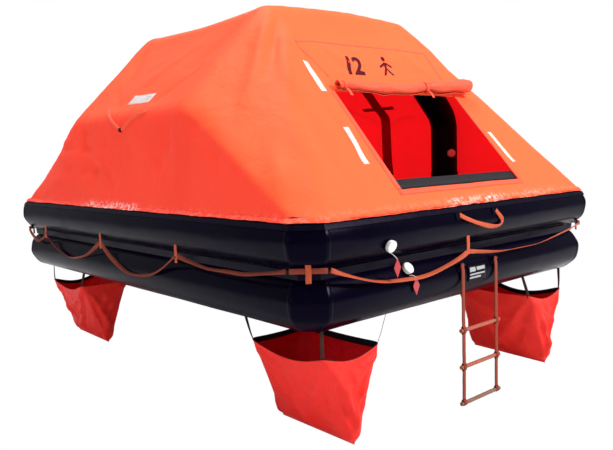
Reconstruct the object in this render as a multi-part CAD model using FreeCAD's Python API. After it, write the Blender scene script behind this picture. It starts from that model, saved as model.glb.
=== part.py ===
import FreeCAD, Part
import math
import os

# Inflatable canopied liferaft for twelve people, afloat with its four water pockets hanging.
# Millimetres, +Z up, front (the entrance) towards -Y.
# The origin is the middle of the raft, level with the underside of the lower buoyancy tube.

Vec = FreeCAD.Vector
up = Vec(0, 0, 1)

# longer than the raft, for solids that cut others; and the gap between pieces that lie together
beyond = 9000.0
touch = 0.3

# buoyancy tubes
tube_radius = 140.0
ring_half_width = 1110.0
ring_half_length = 1586.0
ring_corner_cut = 37.0
lower_ring_inset = 30.0
web_half_height = 20.0
web_thickness = 2.5

# floor
floor_underside = 22.0
floor_thickness = 52.0
floor_rib_count = 9
floor_rib_rise = 13.0

# canopy, measured to the outside of the fabric
roof_half_width = 585.0
roof_half_length = 700.0
roof_height = 1655.0
knee_overhang = 70.0
knee_height = 1060.0
wall_foot_angle = 45.0
canopy_thickness = 5.0
canopy_lap = 8.0
cut_margin = 60.0

# inflated arches under the canopy
arch_radius = 95.0
arch_bend_radius = 190.0
cuff_height = 70.0
cuff_thickness = 4.0

# entrance in the front slope
door_half_width = 520.0
door_sill_height = 612.0
door_top_height = 1128.0
door_corner_radius = 30.0
roll_radius = 40.0
roll_half_length = 590.0
roll_tie_offset = 470.0
roll_tie_width = 25.0
roll_tie_thickness = 3.0
rear_flap_margin = 60.0

# webbing and glued-on pieces
webbing_width = 25.0
webbing_thickness = 3.0
patch_thickness = 3.0
tape_width = 34.0
tape_thickness = 1.5
tape_spacing = 600.0

# boarding ladder
ladder_half_width = 150.0
ladder_pitch = 198.0
ladder_rung_count = 3
ladder_top_rung_depth = 152.0
ladder_anchor_angle = 22.0
rung_radius = 11.0
rung_wall = 2.5
rung_overhang = 14.0

# water pockets
pocket_across = 870.0
pocket_along = 1325.0
pocket_width = 390.0
pocket_length = 550.0
pocket_rim_depth = 125.0
pocket_bottom_depth = 585.0
pocket_bottom_width = 26.0
pocket_wall = 4.0
pocket_lip_sag = 48.0
pocket_hem_height = 28.0
pocket_hem_thickness = 2.5
pocket_strap_width = 18.0
pocket_strap_spread = 105.0
strap_inset = (20.2, 14.6)
strap_foot = 14.0
rim_open = 30.0

# valves
valve_flange_radius = 31.0
valve_body_radius = 25.0
valve_body_height = 15.0
valve_bore_radius = 17.0
valve_seat_radius = 11.0
valve_seat_thickness = 4.0
valve_cap_radius = 29.0
valve_cap_height = 12.0
valve_cap_lift = 0.5
valve_cap_lugs = 6
valve_lug_width = 4.0
valve_lug_reach = 1.2
poppet_radius = 13.5
poppet_thickness = 2.5
poppet_stem_radius = 3.0
poppet_travel = 4.0
valve_reach = 20.0
valve_foot = 6.0
valve_seat_depth = 9.0
bridge_width = 5.0
guide_wall = 3.0
valve_cap_skirt = 6.0
cap_drop = 3.0
cap_bevel = 5.0
valve_lug_root = 3.0

# gas cylinder under the floor
cylinder_radius = 84.0
cylinder_length = 560.0
cylinder_along = 1060.0
sleeve_thickness = 3.0

# canopy fittings
lap_strip_angles = (25.0, 35.0)
gutter_half_span = 330.0
gutter_rise = 95.0
gutter_drop = 80.0
gutter_width = 16.0
gutter_height = 6.0
spout_radius = 14.0
spout_length = 22.0
spout_bore_share = 0.6
spout_wall = 4.0
sleeve_width = 95.0
sleeve_top = 1290.0
sleeve_bottom = 600.0
crossbar_length = 330.0
crossbar_width = 34.0
crossbar_height = 1150.0
upper_tape_top = 1300.0
lower_tape_top = 920.0
tape_drop = 182.0
roof_patch_length = 400.0
roof_patch_width = 95.0
roof_patch_rise = 115.0
roof_patch_shift = -70.0

# lifelines
line_gap = 1.0
run_gap = 2.0
link_gap = 4.0
line_end_height = 288.0
corner_line_height = 300.0
side_tab_pitch = 930.0
side_tab_shift = 290.0
front_tab_place = -100.0
front_tab_height = 262.0
front_sag_heights = (183.0, 225.0)
side_sag_heights = (250.0, 128.0, 145.0, 218.0)
tab_low = 248.0
tab_high = 352.0

# boarding handle and marking
handle_places = (-200.0, 125.0)
handle_top_angle = 17.0
handle_free_height = 428.0
handle_low_height = 376.0
handle_patch_width = 60.0
handle_patch_drop = 22.0
handle_patch_rise = 16.0
handle_lean = 6.0
handle_lap = 8.0
handle_bow = 0.55
marking_place = -15.0
marking_width = 160.0
marking_heights = (95.0, 185.0)

# anchors of the ladder
bar_radius = 4.0
bar_stand_off = 10.0
eye_clearance = 0.4
anchor_width = 64.0
anchor_drop = 34.0
anchor_rise = 16.0
lug_width = 8.0
lug_radius = 7.0
lug_depth = 34.0
lug_gap = 1.5

# valve places
upper_valve_place = -735.0
upper_valve_angle = -20.0
lower_valve_place = -560.0
lower_valve_angle = 37.0
arch_valve_height = 765.0
arch_valve_turn = 25.0

# tags on short lanyards
tag_half_width = 24.0
tag_half_height = 46.0
tag_thickness = 2.0
tag_hole_radius = 2.5
tag_hole_drop = 9.0
lanyard_radius = 1.5
upper_tag_place = (-700.0, -1738.0, 262.0)
lower_tag_place = (-530.0, -1707.0, 146.0)

# gas cylinder head, sleeve and straps
neck_radius = 22.0
neck_length = 34.0
head_radius = 26.0
head_length = 62.0
strap_places = (-150.0, 150.0)
cylinder_strap_thickness = 2.5
strap_tail = 20.0
strap_opening = 12.0
flap_reach = 30.0
sleeve_share = 0.72
outlet_radius = 11.0
outlet_cap_radius = 15.0
outlet_cap_length = 12.0
outlet_reach = 18.0
outlet_height = 26.0
head_chamfer = 4.0
dome_share = 0.45

knee_half_width = ring_half_width + knee_overhang
ring_rise = math.sqrt((2 * tube_radius + touch) ** 2 - lower_ring_inset ** 2)
lower_z = tube_radius
upper_z = lower_z + ring_rise
lower_half_width = ring_half_width - lower_ring_inset
lower_half_length = ring_half_length - lower_ring_inset
mitre = math.radians(22.5)

os.makedirs("parts", exist_ok=True)


def save(name, shape):
    shape.exportStep("parts/%s.step" % name)


# ---------------------------------------------------------------- shapes

def face_of(points):
    return Part.Face(Part.makePolygon([Vec(*p) for p in points] + [Vec(*points[0])]))


def plan_prism(points, low=-beyond / 2, high=beyond / 2):
    """Upright prism over a plan polygon."""
    return face_of([(x, y, low) for x, y in points]).extrude(Vec(0, 0, high - low))


def half_space(point, normal, size=beyond):
    """A large box filling the far side of a plane."""
    block = Part.makeBox(size, size, size, Vec(-size / 2, -size / 2, 0))
    block.Placement = FreeCAD.Placement(Vec(*point), FreeCAD.Rotation(up, Vec(*normal)))
    return block


def ring(profile, half_width, half_length, corner_cut, reach=320.0):
    """A closed ring with mitred corners from a profile face in the YZ plane, outward along -Y."""
    pieces = []
    facet_half = corner_cut * math.sqrt(0.5)
    out = Vec(math.sin(mitre), -math.cos(mitre), 0)
    for turn, distance, span in ((0, half_length, half_width), (90, half_width, half_length),
                                 (180, half_length, half_width), (270, half_width, half_length)):
        corner = Vec(span - corner_cut, -distance, 0)
        inner = corner - out * (facet_half / math.sin(mitre))
        centre = inner + Vec(-1, 1, 0) * reach
        outer = corner + out * reach
        right = [outer, inner, centre]
        plan = [(p.x, p.y) for p in right] + [(-p.x, p.y) for p in reversed(right)]
        bar = profile.copy()
        bar.translate(Vec(-span - reach, -distance, 0))
        bar = bar.extrude(Vec(2 * (span + reach), 0, 0)).common(plan_prism(plan))
        bar.rotate(Vec(), up, turn)
        pieces.append(bar)
    apex = Vec(0, facet_half / math.tan(mitre), 0)
    tip = apex + out * (2 * reach)
    wedge = plan_prism([(apex.x, apex.y), (-tip.x, tip.y), (tip.x, tip.y)])
    for turn, sx, sy in ((45, 1, -1), (135, 1, 1), (225, -1, 1), (315, -1, -1)):
        bar = profile.copy()
        bar.translate(Vec(-reach, 0, 0))
        bar = bar.extrude(Vec(2 * reach, 0, 0)).common(wedge)
        bar.rotate(Vec(), up, turn)
        bar.translate(Vec(sx * (half_width - corner_cut / 2), sy * (half_length - corner_cut / 2), 0))
        pieces.append(bar)
    return pieces[0].multiFuse(pieces[1:]).removeSplitter()


def round_profile(radius, height):
    return Part.Face(Part.Wire(Part.makeCircle(radius, Vec(0, 0, height), Vec(1, 0, 0))))


def tube_ring(radius, which):
    if which == "upper":
        return ring(round_profile(radius, upper_z), ring_half_width, ring_half_length, ring_corner_cut)
    return ring(round_profile(radius, lower_z), lower_half_width, lower_half_length,
                ring_corner_cut)


def bent_path(points, radius):
    """Straight runs joined by tangent arcs."""
    points = [Vec(*p) for p in points]
    edges = []
    start = points[0]
    for before, corner, after in zip(points, points[1:], points[2:]):
        a = (before - corner).normalize()
        b = (after - corner).normalize()
        half_angle = a.getAngle(b) / 2
        back = radius / math.tan(half_angle)
        middle = corner + (a + b).normalize() * (radius / math.sin(half_angle) - radius)
        edges.append(Part.makeLine(start, corner + a * back))
        edges.append(Part.Arc(corner + a * back, middle, corner + b * back).toShape())
        start = corner + b * back
    edges.append(Part.makeLine(start, points[-1]))
    return Part.Wire(edges)


def pipe(path, radius):
    first = path.Edges[0]
    direction = first.tangentAt(first.FirstParameter)
    start = first.valueAt(first.FirstParameter)
    return path.makePipeShell([Part.Wire(Part.makeCircle(radius, start, direction))], True, True)


def strap(start, end, across, width, thickness):
    """Flat webbing between two points; across is the direction of its width."""
    start, end = Vec(*start), Vec(*end)
    along = end - start
    length = along.Length
    along.normalize()
    across = Vec(*across)
    across = (across - along * across.dot(along)).normalize()
    normal = along.cross(across)
    box = Part.makeBox(width, thickness, length, Vec(-width / 2, -thickness / 2, 0))
    turn = FreeCAD.Matrix(across.x, normal.x, along.x, start.x, across.y, normal.y, along.y, start.y,
                          across.z, normal.z, along.z, start.z, 0, 0, 0, 1)
    box.Placement = FreeCAD.Placement(turn)
    return box


def on_tube(which, angle, extra=0.0):
    """Outward and upward place on a tube's skin, the angle counted up from level."""
    half, height = (ring_half_length, upper_z) if which == "upper" else (lower_half_length, lower_z)
    reach = tube_radius + extra
    turn = math.radians(angle)
    return half + reach * math.cos(turn), height + reach * math.sin(turn)


# ---------------------------------------------------------------- tubes and floor

lower_tube = tube_ring(tube_radius, "lower")
upper_tube = tube_ring(tube_radius, "upper")
lower_cutter = tube_ring(tube_radius + touch, "lower")
upper_cutter = tube_ring(tube_radius + touch, "upper")
save("lower_buoyancy_tube", lower_tube)
save("upper_buoyancy_tube", upper_tube)


def valley_web(side):
    """Fabric band bridging the valley between the tubes, outside (+1) or inside (-1)."""
    lean = math.asin(lower_ring_inset / (2 * tube_radius + touch))
    reach = math.sqrt(tube_radius ** 2 - (tube_radius - web_half_height) ** 2)
    middle = (-lower_ring_inset / 2, (lower_z + upper_z) / 2)
    corners = []
    for out, along in ((reach, -1), (reach + web_thickness, -1), (reach + web_thickness, 1), (reach, 1)):
        u, v = side * out, along * web_half_height
        corners.append((0, -(middle[0] + u * math.cos(lean) + v * math.sin(lean)),
                        middle[1] - u * math.sin(lean) + v * math.cos(lean)))
    band = ring(face_of(corners), ring_half_width, ring_half_length, ring_corner_cut)
    return band.cut(lower_cutter).cut(upper_cutter)


save("outer_valley_web", valley_web(1))
save("inner_valley_web", valley_web(-1))


def raft_floor():
    """Inflated floor of lengthwise ribs, trimmed to the lower tube."""
    pitch = 2 * lower_half_width / floor_rib_count
    top, low = floor_underside + floor_thickness, floor_underside
    edges = []
    for row, height, bulge in ((0, top, 1), (1, low, -1)):
        for k in range(floor_rib_count):
            x0 = -lower_half_width + k * pitch
            x1 = x0 + pitch
            points = [Vec(x0, 0, height), Vec((x0 + x1) / 2, 0, height + bulge * floor_rib_rise),
                      Vec(x1, 0, height)]
            edges.append(Part.Arc(*points).toShape())
    for x in (-lower_half_width, lower_half_width):
        edges.append(Part.makeLine(Vec(x, 0, low), Vec(x, 0, top)))
    face = Part.Face(Part.Wire(Part.__sortEdges__(edges)))
    slab = face.extrude(Vec(0, 2 * lower_half_length, 0))
    slab.translate(Vec(0, -lower_half_length, 0))
    solids = slab.cut(lower_cutter).Solids
    return max(solids, key=lambda s: s.Volume)


floor = raft_floor()
save("raft_floor", floor)

# ---------------------------------------------------------------- canopy

foot = math.radians(wall_foot_angle)
wall_foot = (ring_half_width + tube_radius * math.cos(foot), upper_z + tube_radius * math.sin(foot))


def end_slope():
    """Upper and lower points (y, z) of the end slope, which lies tangent on the end tube."""
    gap = tube_radius + 2 * touch + canopy_thickness
    edge = (roof_half_length - ring_half_length, roof_height - upper_z)
    reach = math.hypot(*edge)
    tangent = math.atan2(edge[1], -edge[0]) - math.asin(gap / reach)
    normal = (math.sin(tangent), math.cos(tangent))
    return (roof_half_length, roof_height), (ring_half_length + gap * normal[0], upper_z + gap * normal[1])


slope_top, slope_foot = end_slope()
slope_tilt = math.atan2(slope_top[1] - slope_foot[1], slope_foot[0] - slope_top[0])
foot_cut = ring_corner_cut + (wall_foot[0] - ring_half_width) * (1 - math.tan(mitre))


def plane_through(a, b, c):
    """Point and outward normal of the plane through three points."""
    a, b, c = Vec(*a), Vec(*b), Vec(*c)
    normal = (b - a).cross(c - a).normalize()
    if normal.dot(a - Vec(0, 0, upper_z)) < 0:
        normal = normal * -1
    return a, normal


def canopy_planes():
    planes = [(Vec(0, 0, roof_height), up)]
    for sx in (-1, 1):
        roof = (sx * roof_half_width, roof_half_length, roof_height)
        knee = (sx * knee_half_width, roof_half_length, knee_height)
        wall = (sx * wall_foot[0], roof_half_length, wall_foot[1])
        planes.append(plane_through(roof, knee, (roof[0], 0, roof[2])))
        planes.append(plane_through(knee, wall, (knee[0], 0, knee[2])))
    for sy in (-1, 1):
        top = (roof_half_width, sy * slope_top[0], slope_top[1])
        low = (roof_half_width, sy * slope_foot[0], slope_foot[1])
        planes.append(plane_through(top, low, (0, top[1], top[2])))
        for sx in (-1, 1):
            roof = (sx * roof_half_width, sy * roof_half_length, roof_height)
            knee = (sx * knee_half_width, sy * roof_half_length, knee_height)
            side = (sx * wall_foot[0], sy * (slope_foot[0] - foot_cut), wall_foot[1])
            end = (sx * (wall_foot[0] - foot_cut), sy * slope_foot[0], slope_foot[1])
            planes.append(plane_through(roof, knee, side))
            planes.append(plane_through(roof, side, end))
    return planes


def canopy_body(inset, base):
    """Solid tent inside the panel planes, each moved in by inset."""
    tent = Part.makeBox(beyond / 2, beyond / 2, beyond / 3, Vec(-beyond / 4, -beyond / 4, base))
    for point, normal in canopy_planes():
        tent = tent.cut(half_space(point - normal * inset, normal))
    return tent


def slope_point(x, height, lift=0.0, end=-1):
    """A place on an end slope at a given height, lifted off the fabric."""
    share = (slope_top[1] - height) / (slope_top[1] - slope_foot[1])
    y = slope_top[0] + share * (slope_foot[0] - slope_top[0])
    return Vec(x, end * (y + lift * math.sin(slope_tilt)), height + lift * math.cos(slope_tilt))


def slope_slab(corners, low, high, end=-1):
    """Slab over a polygon of (x, height) places on an end slope, between two lifts."""
    points = [slope_point(x, h, low, end) for x, h in corners]
    lift = slope_point(0, slope_foot[1], high, end) - slope_point(0, slope_foot[1], low, end)
    return Part.Face(Part.makePolygon(points + [points[0]])).extrude(lift)


canopy_base = slope_foot[1] - canopy_lap
outer_tent = canopy_body(0, canopy_base)
inner_tent = canopy_body(canopy_thickness, canopy_base - cut_margin)
door = [(-door_half_width, door_sill_height), (door_half_width, door_sill_height),
        (door_half_width, door_top_height), (-door_half_width, door_top_height)]
door_cutter = slope_slab(door, -cut_margin, cut_margin)
long_edges = [e for e in door_cutter.Edges
              if abs(e.tangentAt(e.FirstParameter).dot(slope_point(0, 0, 1) - slope_point(0, 0))) > 0.9]
door_cutter = door_cutter.makeFillet(door_corner_radius, long_edges)
canopy = outer_tent.cut(inner_tent).cut(upper_cutter).cut(door_cutter)
canopy = max(canopy.Solids, key=lambda s: s.Volume)
save("canopy", canopy)

# ---------------------------------------------------------------- arches

arch_inset = arch_radius + canopy_thickness + touch
slant = math.atan2(roof_height - knee_height, knee_half_width - roof_half_width)
wall_lean = math.atan2(wall_foot[0] - knee_half_width, knee_height - wall_foot[1])
arch_top = roof_height - arch_inset
arch_leg = knee_half_width - arch_inset / math.cos(wall_lean)


def slant_height(x):
    """Height of the arch's slanted centre line at x."""
    return roof_height + (roof_half_width - x) * math.tan(slant) - arch_inset / math.cos(slant)


arch_shoulder = roof_half_width + (roof_height - arch_top - arch_inset / math.cos(slant)) / math.tan(slant)
tilt_half = math.pi / 2 - slope_tilt / 2
arch_along = roof_half_length - arch_inset / math.tan(tilt_half)


def arch(sy):
    y = sy * arch_along
    knee_z = slant_height(arch_leg)
    route = [(-arch_leg, y, upper_z), (-arch_leg, y, knee_z), (-arch_shoulder, y, arch_top),
             (arch_shoulder, y, arch_top), (arch_leg, y, knee_z), (arch_leg, y, upper_z)]
    return pipe(bent_path(route, arch_bend_radius), arch_radius).cut(upper_cutter)


arches = {"front": arch(-1), "rear": arch(1)}
for name, shape in arches.items():
    save("arch_tube_" + name, max(shape.Solids, key=lambda s: s.Volume))


def arch_cuffs():
    """Fabric cuffs that hold the four arch feet on the upper tube."""
    cuffs = []
    for sx in (-1, 1):
        for sy in (-1, 1):
            base = Vec(sx * arch_leg, sy * arch_along, upper_z)
            height = tube_radius + cuff_height
            sleeve = Part.makeCylinder(arch_radius + touch + cuff_thickness, height, base)
            bore = Part.makeCylinder(arch_radius + touch, height, base)
            cuff = sleeve.cut(bore).cut(upper_cutter).common(inner_tent)
            cuffs.append(max(cuff.Solids, key=lambda s: s.Volume))
    return Part.makeCompound(cuffs)


save("arch_foot_cuffs", arch_cuffs())

# ---------------------------------------------------------------- canopy fittings

def sector_profile(inner, outer, low_angle, high_angle, height):
    """Annular strip of tube skin in the YZ plane, outward along -Y."""
    def at(radius, angle):
        turn = math.radians(angle)
        return Vec(0, -radius * math.cos(turn), height + radius * math.sin(turn))
    middle = (low_angle + high_angle) / 2
    edges = [Part.Arc(at(inner, low_angle), at(inner, middle), at(inner, high_angle)).toShape(),
             Part.makeLine(at(inner, high_angle), at(outer, high_angle)),
             Part.Arc(at(outer, high_angle), at(outer, middle), at(outer, low_angle)).toShape(),
             Part.makeLine(at(outer, low_angle), at(inner, low_angle))]
    return Part.Face(Part.Wire(edges))


save("canopy_lap_strip", ring(sector_profile(tube_radius + touch, tube_radius + touch + patch_thickness,
                                             lap_strip_angles[0], lap_strip_angles[1], upper_z),
                              ring_half_width, ring_half_length, ring_corner_cut))


def curtain_roll():
    """Rolled-up entrance curtain: one outer turn of a spiral along the top of the entrance."""
    step = 4.0
    arcs = [Part.Arc(Vec(0, roll_radius, 0), Vec(0, 0, roll_radius), Vec(0, -roll_radius, 0)).toShape(),
            Part.Arc(Vec(0, -roll_radius, 0), Vec(0, -step / 2, -roll_radius + step / 2),
                     Vec(0, roll_radius - step, 0)).toShape(),
            Part.makeLine(Vec(0, roll_radius - step, 0), Vec(0, roll_radius, 0))]
    roll = Part.Face(Part.Wire(arcs)).extrude(Vec(2 * roll_half_length, 0, 0))
    roll.translate(roll_axis() - Vec(roll_half_length, 0, 0))
    return roll


def roll_axis():
    lift = roll_radius + roll_tie_thickness + 2 * touch
    return slope_point(0, door_top_height + roll_radius, lift)


def roll_ties():
    ties = []
    for x in (-roll_tie_offset, roll_tie_offset):
        start = roll_axis() + Vec(x - roll_tie_width / 2, 0, 0)
        outer = Part.makeCylinder(roll_radius + touch + roll_tie_thickness, roll_tie_width, start, Vec(1, 0, 0))
        inner = Part.makeCylinder(roll_radius + touch, roll_tie_width, start, Vec(1, 0, 0))
        ties.append(outer.cut(inner))
    return Part.makeCompound(ties)


save("door_curtain_roll", curtain_roll())
save("door_curtain_ties", roll_ties())


def rectangle(x0, x1, h0, h1):
    return [(x0, h0), (x1, h0), (x1, h1), (x0, h1)]


rear_flap = slope_slab(rectangle(-door_half_width - rear_flap_margin, door_half_width + rear_flap_margin,
                                 door_sill_height, door_top_height + rear_flap_margin),
                       touch, touch + patch_thickness, 1)
save("rear_door_curtain", rear_flap)


def side_point(side, y, height, lift=0.0):
    """A place on the left (-1) or right (+1) canopy side, on the wall or the slant above the knee."""
    if height > knee_height:
        x = roof_half_width + (roof_height - height) / math.tan(slant)
        tilt = slant
    else:
        x = knee_half_width + (knee_height - height) * math.tan(wall_lean)
        tilt = math.pi / 2 - wall_lean
    return Vec(side * (x + lift * math.sin(tilt)), y, height + lift * math.cos(tilt))


def side_band(side, y0, h0, y1, h1, width, low, high):
    """Flat strip on a canopy side between two places on the same panel, between two lifts."""
    h0, h1 = (h - 1e-6 if h == knee_height and min(h0, h1) < knee_height else h for h in (h0, h1))
    h0, h1 = (h + 1e-6 if h == knee_height and max(h0, h1) > knee_height else h for h in (h0, h1))
    a, b = side_point(side, y0, h0), side_point(side, y1, h1)
    up_normal = (side_point(side, y0, (h0 + h1) / 2, 1.0) - side_point(side, y0, (h0 + h1) / 2)).normalize()
    across = (b - a).cross(up_normal).normalize()
    middle = up_normal * ((low + high) / 2)
    return strap(a + middle, b + middle, across, width, high - low)


def rain_gutter(side):
    """V-shaped rain gutter on a canopy side with a spout at its lowest place."""
    split = gutter_half_span * gutter_drop / (gutter_drop + gutter_rise)
    low, high = touch - gutter_height, touch + gutter_height
    parts = []
    for sy in (-1, 1):
        parts.append(side_band(side, sy * gutter_half_span, knee_height + gutter_rise,
                               sy * split, knee_height, gutter_width, low, high))
        parts.append(side_band(side, sy * split, knee_height, 0, knee_height - gutter_drop,
                               gutter_width, low, high))
    base = side_point(side, 0, knee_height - gutter_drop, touch)
    parts.append(Part.makeCylinder(spout_radius, spout_length, base, Vec(side, 0, 0)))
    gutter = parts[0].multiFuse(parts[1:])
    bore = Part.makeCylinder(spout_bore_share * spout_radius, spout_length, base + Vec(side * spout_wall, 0, 0),
                             Vec(side, 0, 0))
    return gutter.cut(bore).cut(canopy_body(-touch, canopy_base))


def drain_sleeve(side):
    """Flat fabric drain inside the canopy, below the rain gutter, with its cross strap."""
    low, high = -canopy_thickness - touch - patch_thickness, -canopy_thickness - touch
    lower = side_band(side, 0, sleeve_bottom, 0, knee_height - 4, sleeve_width, low, high)
    upper = side_band(side, 0, knee_height + 1, 0, sleeve_top, sleeve_width, low, high)
    bar = side_band(side, -crossbar_length / 2, crossbar_height, crossbar_length / 2, crossbar_height,
                    crossbar_width, low, high)
    return lower.multiFuse([upper, bar]).common(inner_tent)


for name, side in (("left", -1), ("right", 1)):
    save("rain_gutter_" + name, rain_gutter(side))
    save("rain_drain_sleeve_" + name, drain_sleeve(side))


def tapes(end):
    bands = []
    for x in (-tape_spacing, tape_spacing):
        for top in (upper_tape_top, lower_tape_top):
            bands.append(slope_slab(rectangle(x - tape_width / 2, x + tape_width / 2, top - tape_drop, top),
                                    touch, touch + tape_thickness, end))
    return bands


save("reflective_tapes_front", Part.makeCompound(tapes(-1)))
patch_ends = (roof_patch_shift - roof_patch_length / 2, roof_patch_shift + roof_patch_length / 2)
patch_height = knee_height + roof_patch_rise
save("roof_patch", side_band(-1, patch_ends[0], patch_height, patch_ends[1], patch_height, roof_patch_width,
                             touch, touch + tape_thickness))

# ---------------------------------------------------------------- pads glued on the tubes

upper_skin = tube_ring(tube_radius + touch + patch_thickness, "upper").cut(upper_cutter)
lower_skin = tube_ring(tube_radius + touch + patch_thickness, "lower").cut(lower_cutter)
upper_pad_cutter = tube_ring(tube_radius + 2 * touch + patch_thickness, "upper")
lower_pad_cutter = tube_ring(tube_radius + 2 * touch + patch_thickness, "lower")


def pad(which, block):
    skin = upper_skin if which == "upper" else lower_skin
    return max(skin.common(block).Solids, key=lambda s: s.Volume)


def front_pad(which, x, width, low, high, reach=60.0):
    """Pad on the front tube, between two heights."""
    y = -on_tube(which, 0)[0] - reach
    return pad(which, Part.makeBox(width, tube_radius + reach - 20, high - low, Vec(x - width / 2, y, low)))


# ---------------------------------------------------------------- lifelines

line_front = lower_half_length + tube_radius + line_gap
line_side = lower_half_width + tube_radius + line_gap
flat_cut = ring_corner_cut + tube_radius * (1 - math.tan(mitre))
front_flat = lower_half_width + tube_radius - flat_cut
side_flat = lower_half_length + tube_radius - flat_cut


def hanging_band(a0, z0, zm, a1, z1, distance, bow=0.5):
    """Webbing hanging in an upright plane at y = -distance, along an arc through its low point."""
    start, end = Vec(a0, 0, z0), Vec(a1, 0, z1)
    low = Vec(a0 + (a1 - a0) * bow, 0, zm)
    arc = Part.Arc(start, low, end).toShape()
    centre, radius = arc.Curve.Center, arc.Curve.Radius

    def band_arc(offset):
        share = (radius + offset) / radius
        points = [centre + (p - centre) * share for p in (start, low, end)]
        return Part.Arc(*points).toShape(), points
    outer, p = band_arc(webbing_width / 2)
    inner, q = band_arc(-webbing_width / 2)
    wire = Part.Wire([outer, Part.makeLine(p[2], q[2]), inner, Part.makeLine(q[0], p[0])])
    band = Part.Face(Part.Wire(Part.__sortEdges__(wire.Edges))).extrude(Vec(0, webbing_thickness, 0))
    band.translate(Vec(0, -distance - webbing_thickness, 0))
    return band


def lifeline_runs(places, heights, sags, distance, turn):
    """One side's webbing: a run between each two neighbouring tabs, turned to its side."""
    runs = []
    for k, sag in enumerate(sags):
        run = hanging_band(places[k] + run_gap, heights[k], sag, places[k + 1] - run_gap, heights[k + 1],
                           distance)
        run.rotate(Vec(), up, turn)
        runs.append(run)
    return runs


def corner_link(turn, sx, sy):
    """Short webbing across a mitred corner."""
    half_span = ring_corner_cut * math.sqrt(0.5) + tube_radius * math.tan(mitre)
    distance = tube_radius + line_gap
    link = Part.makeBox(2 * (half_span - link_gap), webbing_thickness, webbing_width,
                        Vec(-half_span + link_gap, -distance - webbing_thickness,
                            corner_line_height - webbing_width / 2))
    link.rotate(Vec(), up, turn)
    link.translate(Vec(sx * (lower_half_width - ring_corner_cut / 2),
                       sy * (lower_half_length - ring_corner_cut / 2), 0))
    return link


front_places = [-front_flat, front_tab_place, front_flat]
front_heights = [corner_line_height, front_tab_height, corner_line_height]
side_heights = [corner_line_height] + [line_end_height] * 3 + [corner_line_height]
right_places = [-side_flat, side_tab_shift - side_tab_pitch, side_tab_shift, side_tab_shift + side_tab_pitch,
                side_flat]
left_places = [-p for p in reversed(right_places)]
rear_places = [-front_flat, 0.0, front_flat]
quarter_turns = ((45, 1, -1), (135, 1, 1), (225, -1, 1), (315, -1, -1))


def lifelines():
    """The four sides' webbing; each side also carries the link round the corner to its right."""
    sides = {}
    sags = list(side_sag_heights)
    sides["front"] = lifeline_runs(front_places, front_heights, front_sag_heights, line_front, 0)
    sides["right"] = lifeline_runs(right_places, side_heights, sags, line_side, 90)
    sides["rear"] = lifeline_runs(rear_places, front_heights, front_sag_heights, line_front, 180)
    sides["left"] = lifeline_runs(left_places, side_heights, list(reversed(sags)), line_side, 270)
    for (turn, sx, sy), name in zip(quarter_turns, ("front", "right", "rear", "left")):
        sides[name].append(corner_link(turn, sx, sy))
    return sides


for name, runs in lifelines().items():
    save("lifeline_" + name, Part.makeCompound(runs))


def lifeline_tabs():
    """Upright webbing tabs that hold the lifeline, glued by their top to the upper tube."""
    tabs = []
    out = line_gap + webbing_thickness + touch

    def tab(x, distance, turn, shift=(0, 0)):
        block = Part.makeBox(webbing_width, webbing_thickness, tab_high - tab_low,
                             Vec(x - webbing_width / 2, -distance - out - webbing_thickness, tab_low))
        block.rotate(Vec(), up, turn)
        block.translate(Vec(shift[0], shift[1], 0))
        tabs.append(max(block.cut(upper_cutter).Solids, key=lambda s: s.Volume))
    for turn, places, distance in ((0, front_places, lower_half_length), (90, right_places, lower_half_width),
                                   (180, rear_places, lower_half_length), (270, left_places, lower_half_width)):
        for place in places[1:-1]:
            tab(place, distance + tube_radius, turn)
    for turn, sx, sy in quarter_turns:
        tab(0, tube_radius, turn, (sx * (lower_half_width - ring_corner_cut / 2),
                                   sy * (lower_half_length - ring_corner_cut / 2)))
    return Part.makeCompound(tabs)


save("lifeline_tabs", lifeline_tabs())

# ---------------------------------------------------------------- boarding handle and marking

def boarding_handle():
    distance = ring_half_length + tube_radius + patch_thickness + 3 * touch
    gap = distance + webbing_thickness / 2
    arc = hanging_band(handle_places[0], handle_free_height, handle_low_height, handle_places[1],
                       handle_free_height, distance, handle_bow)
    ends = []
    for x in handle_places:
        top_out, top_height = on_tube("upper", handle_top_angle, patch_thickness + webbing_thickness)
        lean = handle_lean if x < 0 else -handle_lean
        end = strap((x - lean, -top_out, top_height), (x, -gap, handle_free_height - handle_lap), (1, 0, 0),
                    webbing_width, webbing_thickness)
        ends.append(end.cut(upper_pad_cutter))
    return arc.multiFuse(ends)


save("boarding_handle", boarding_handle())
top_height = on_tube("upper", handle_top_angle)[1]
save("boarding_handle_patches",
     Part.makeCompound([front_pad("upper", x, handle_patch_width, top_height - handle_patch_drop,
                            top_height + handle_patch_rise)
                        for x in handle_places]))
save("marking_patch", front_pad("lower", marking_place, marking_width, *marking_heights))

# ---------------------------------------------------------------- boarding ladder

bar_out, bar_height = on_tube("lower", ladder_anchor_angle, patch_thickness + bar_stand_off)


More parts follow.
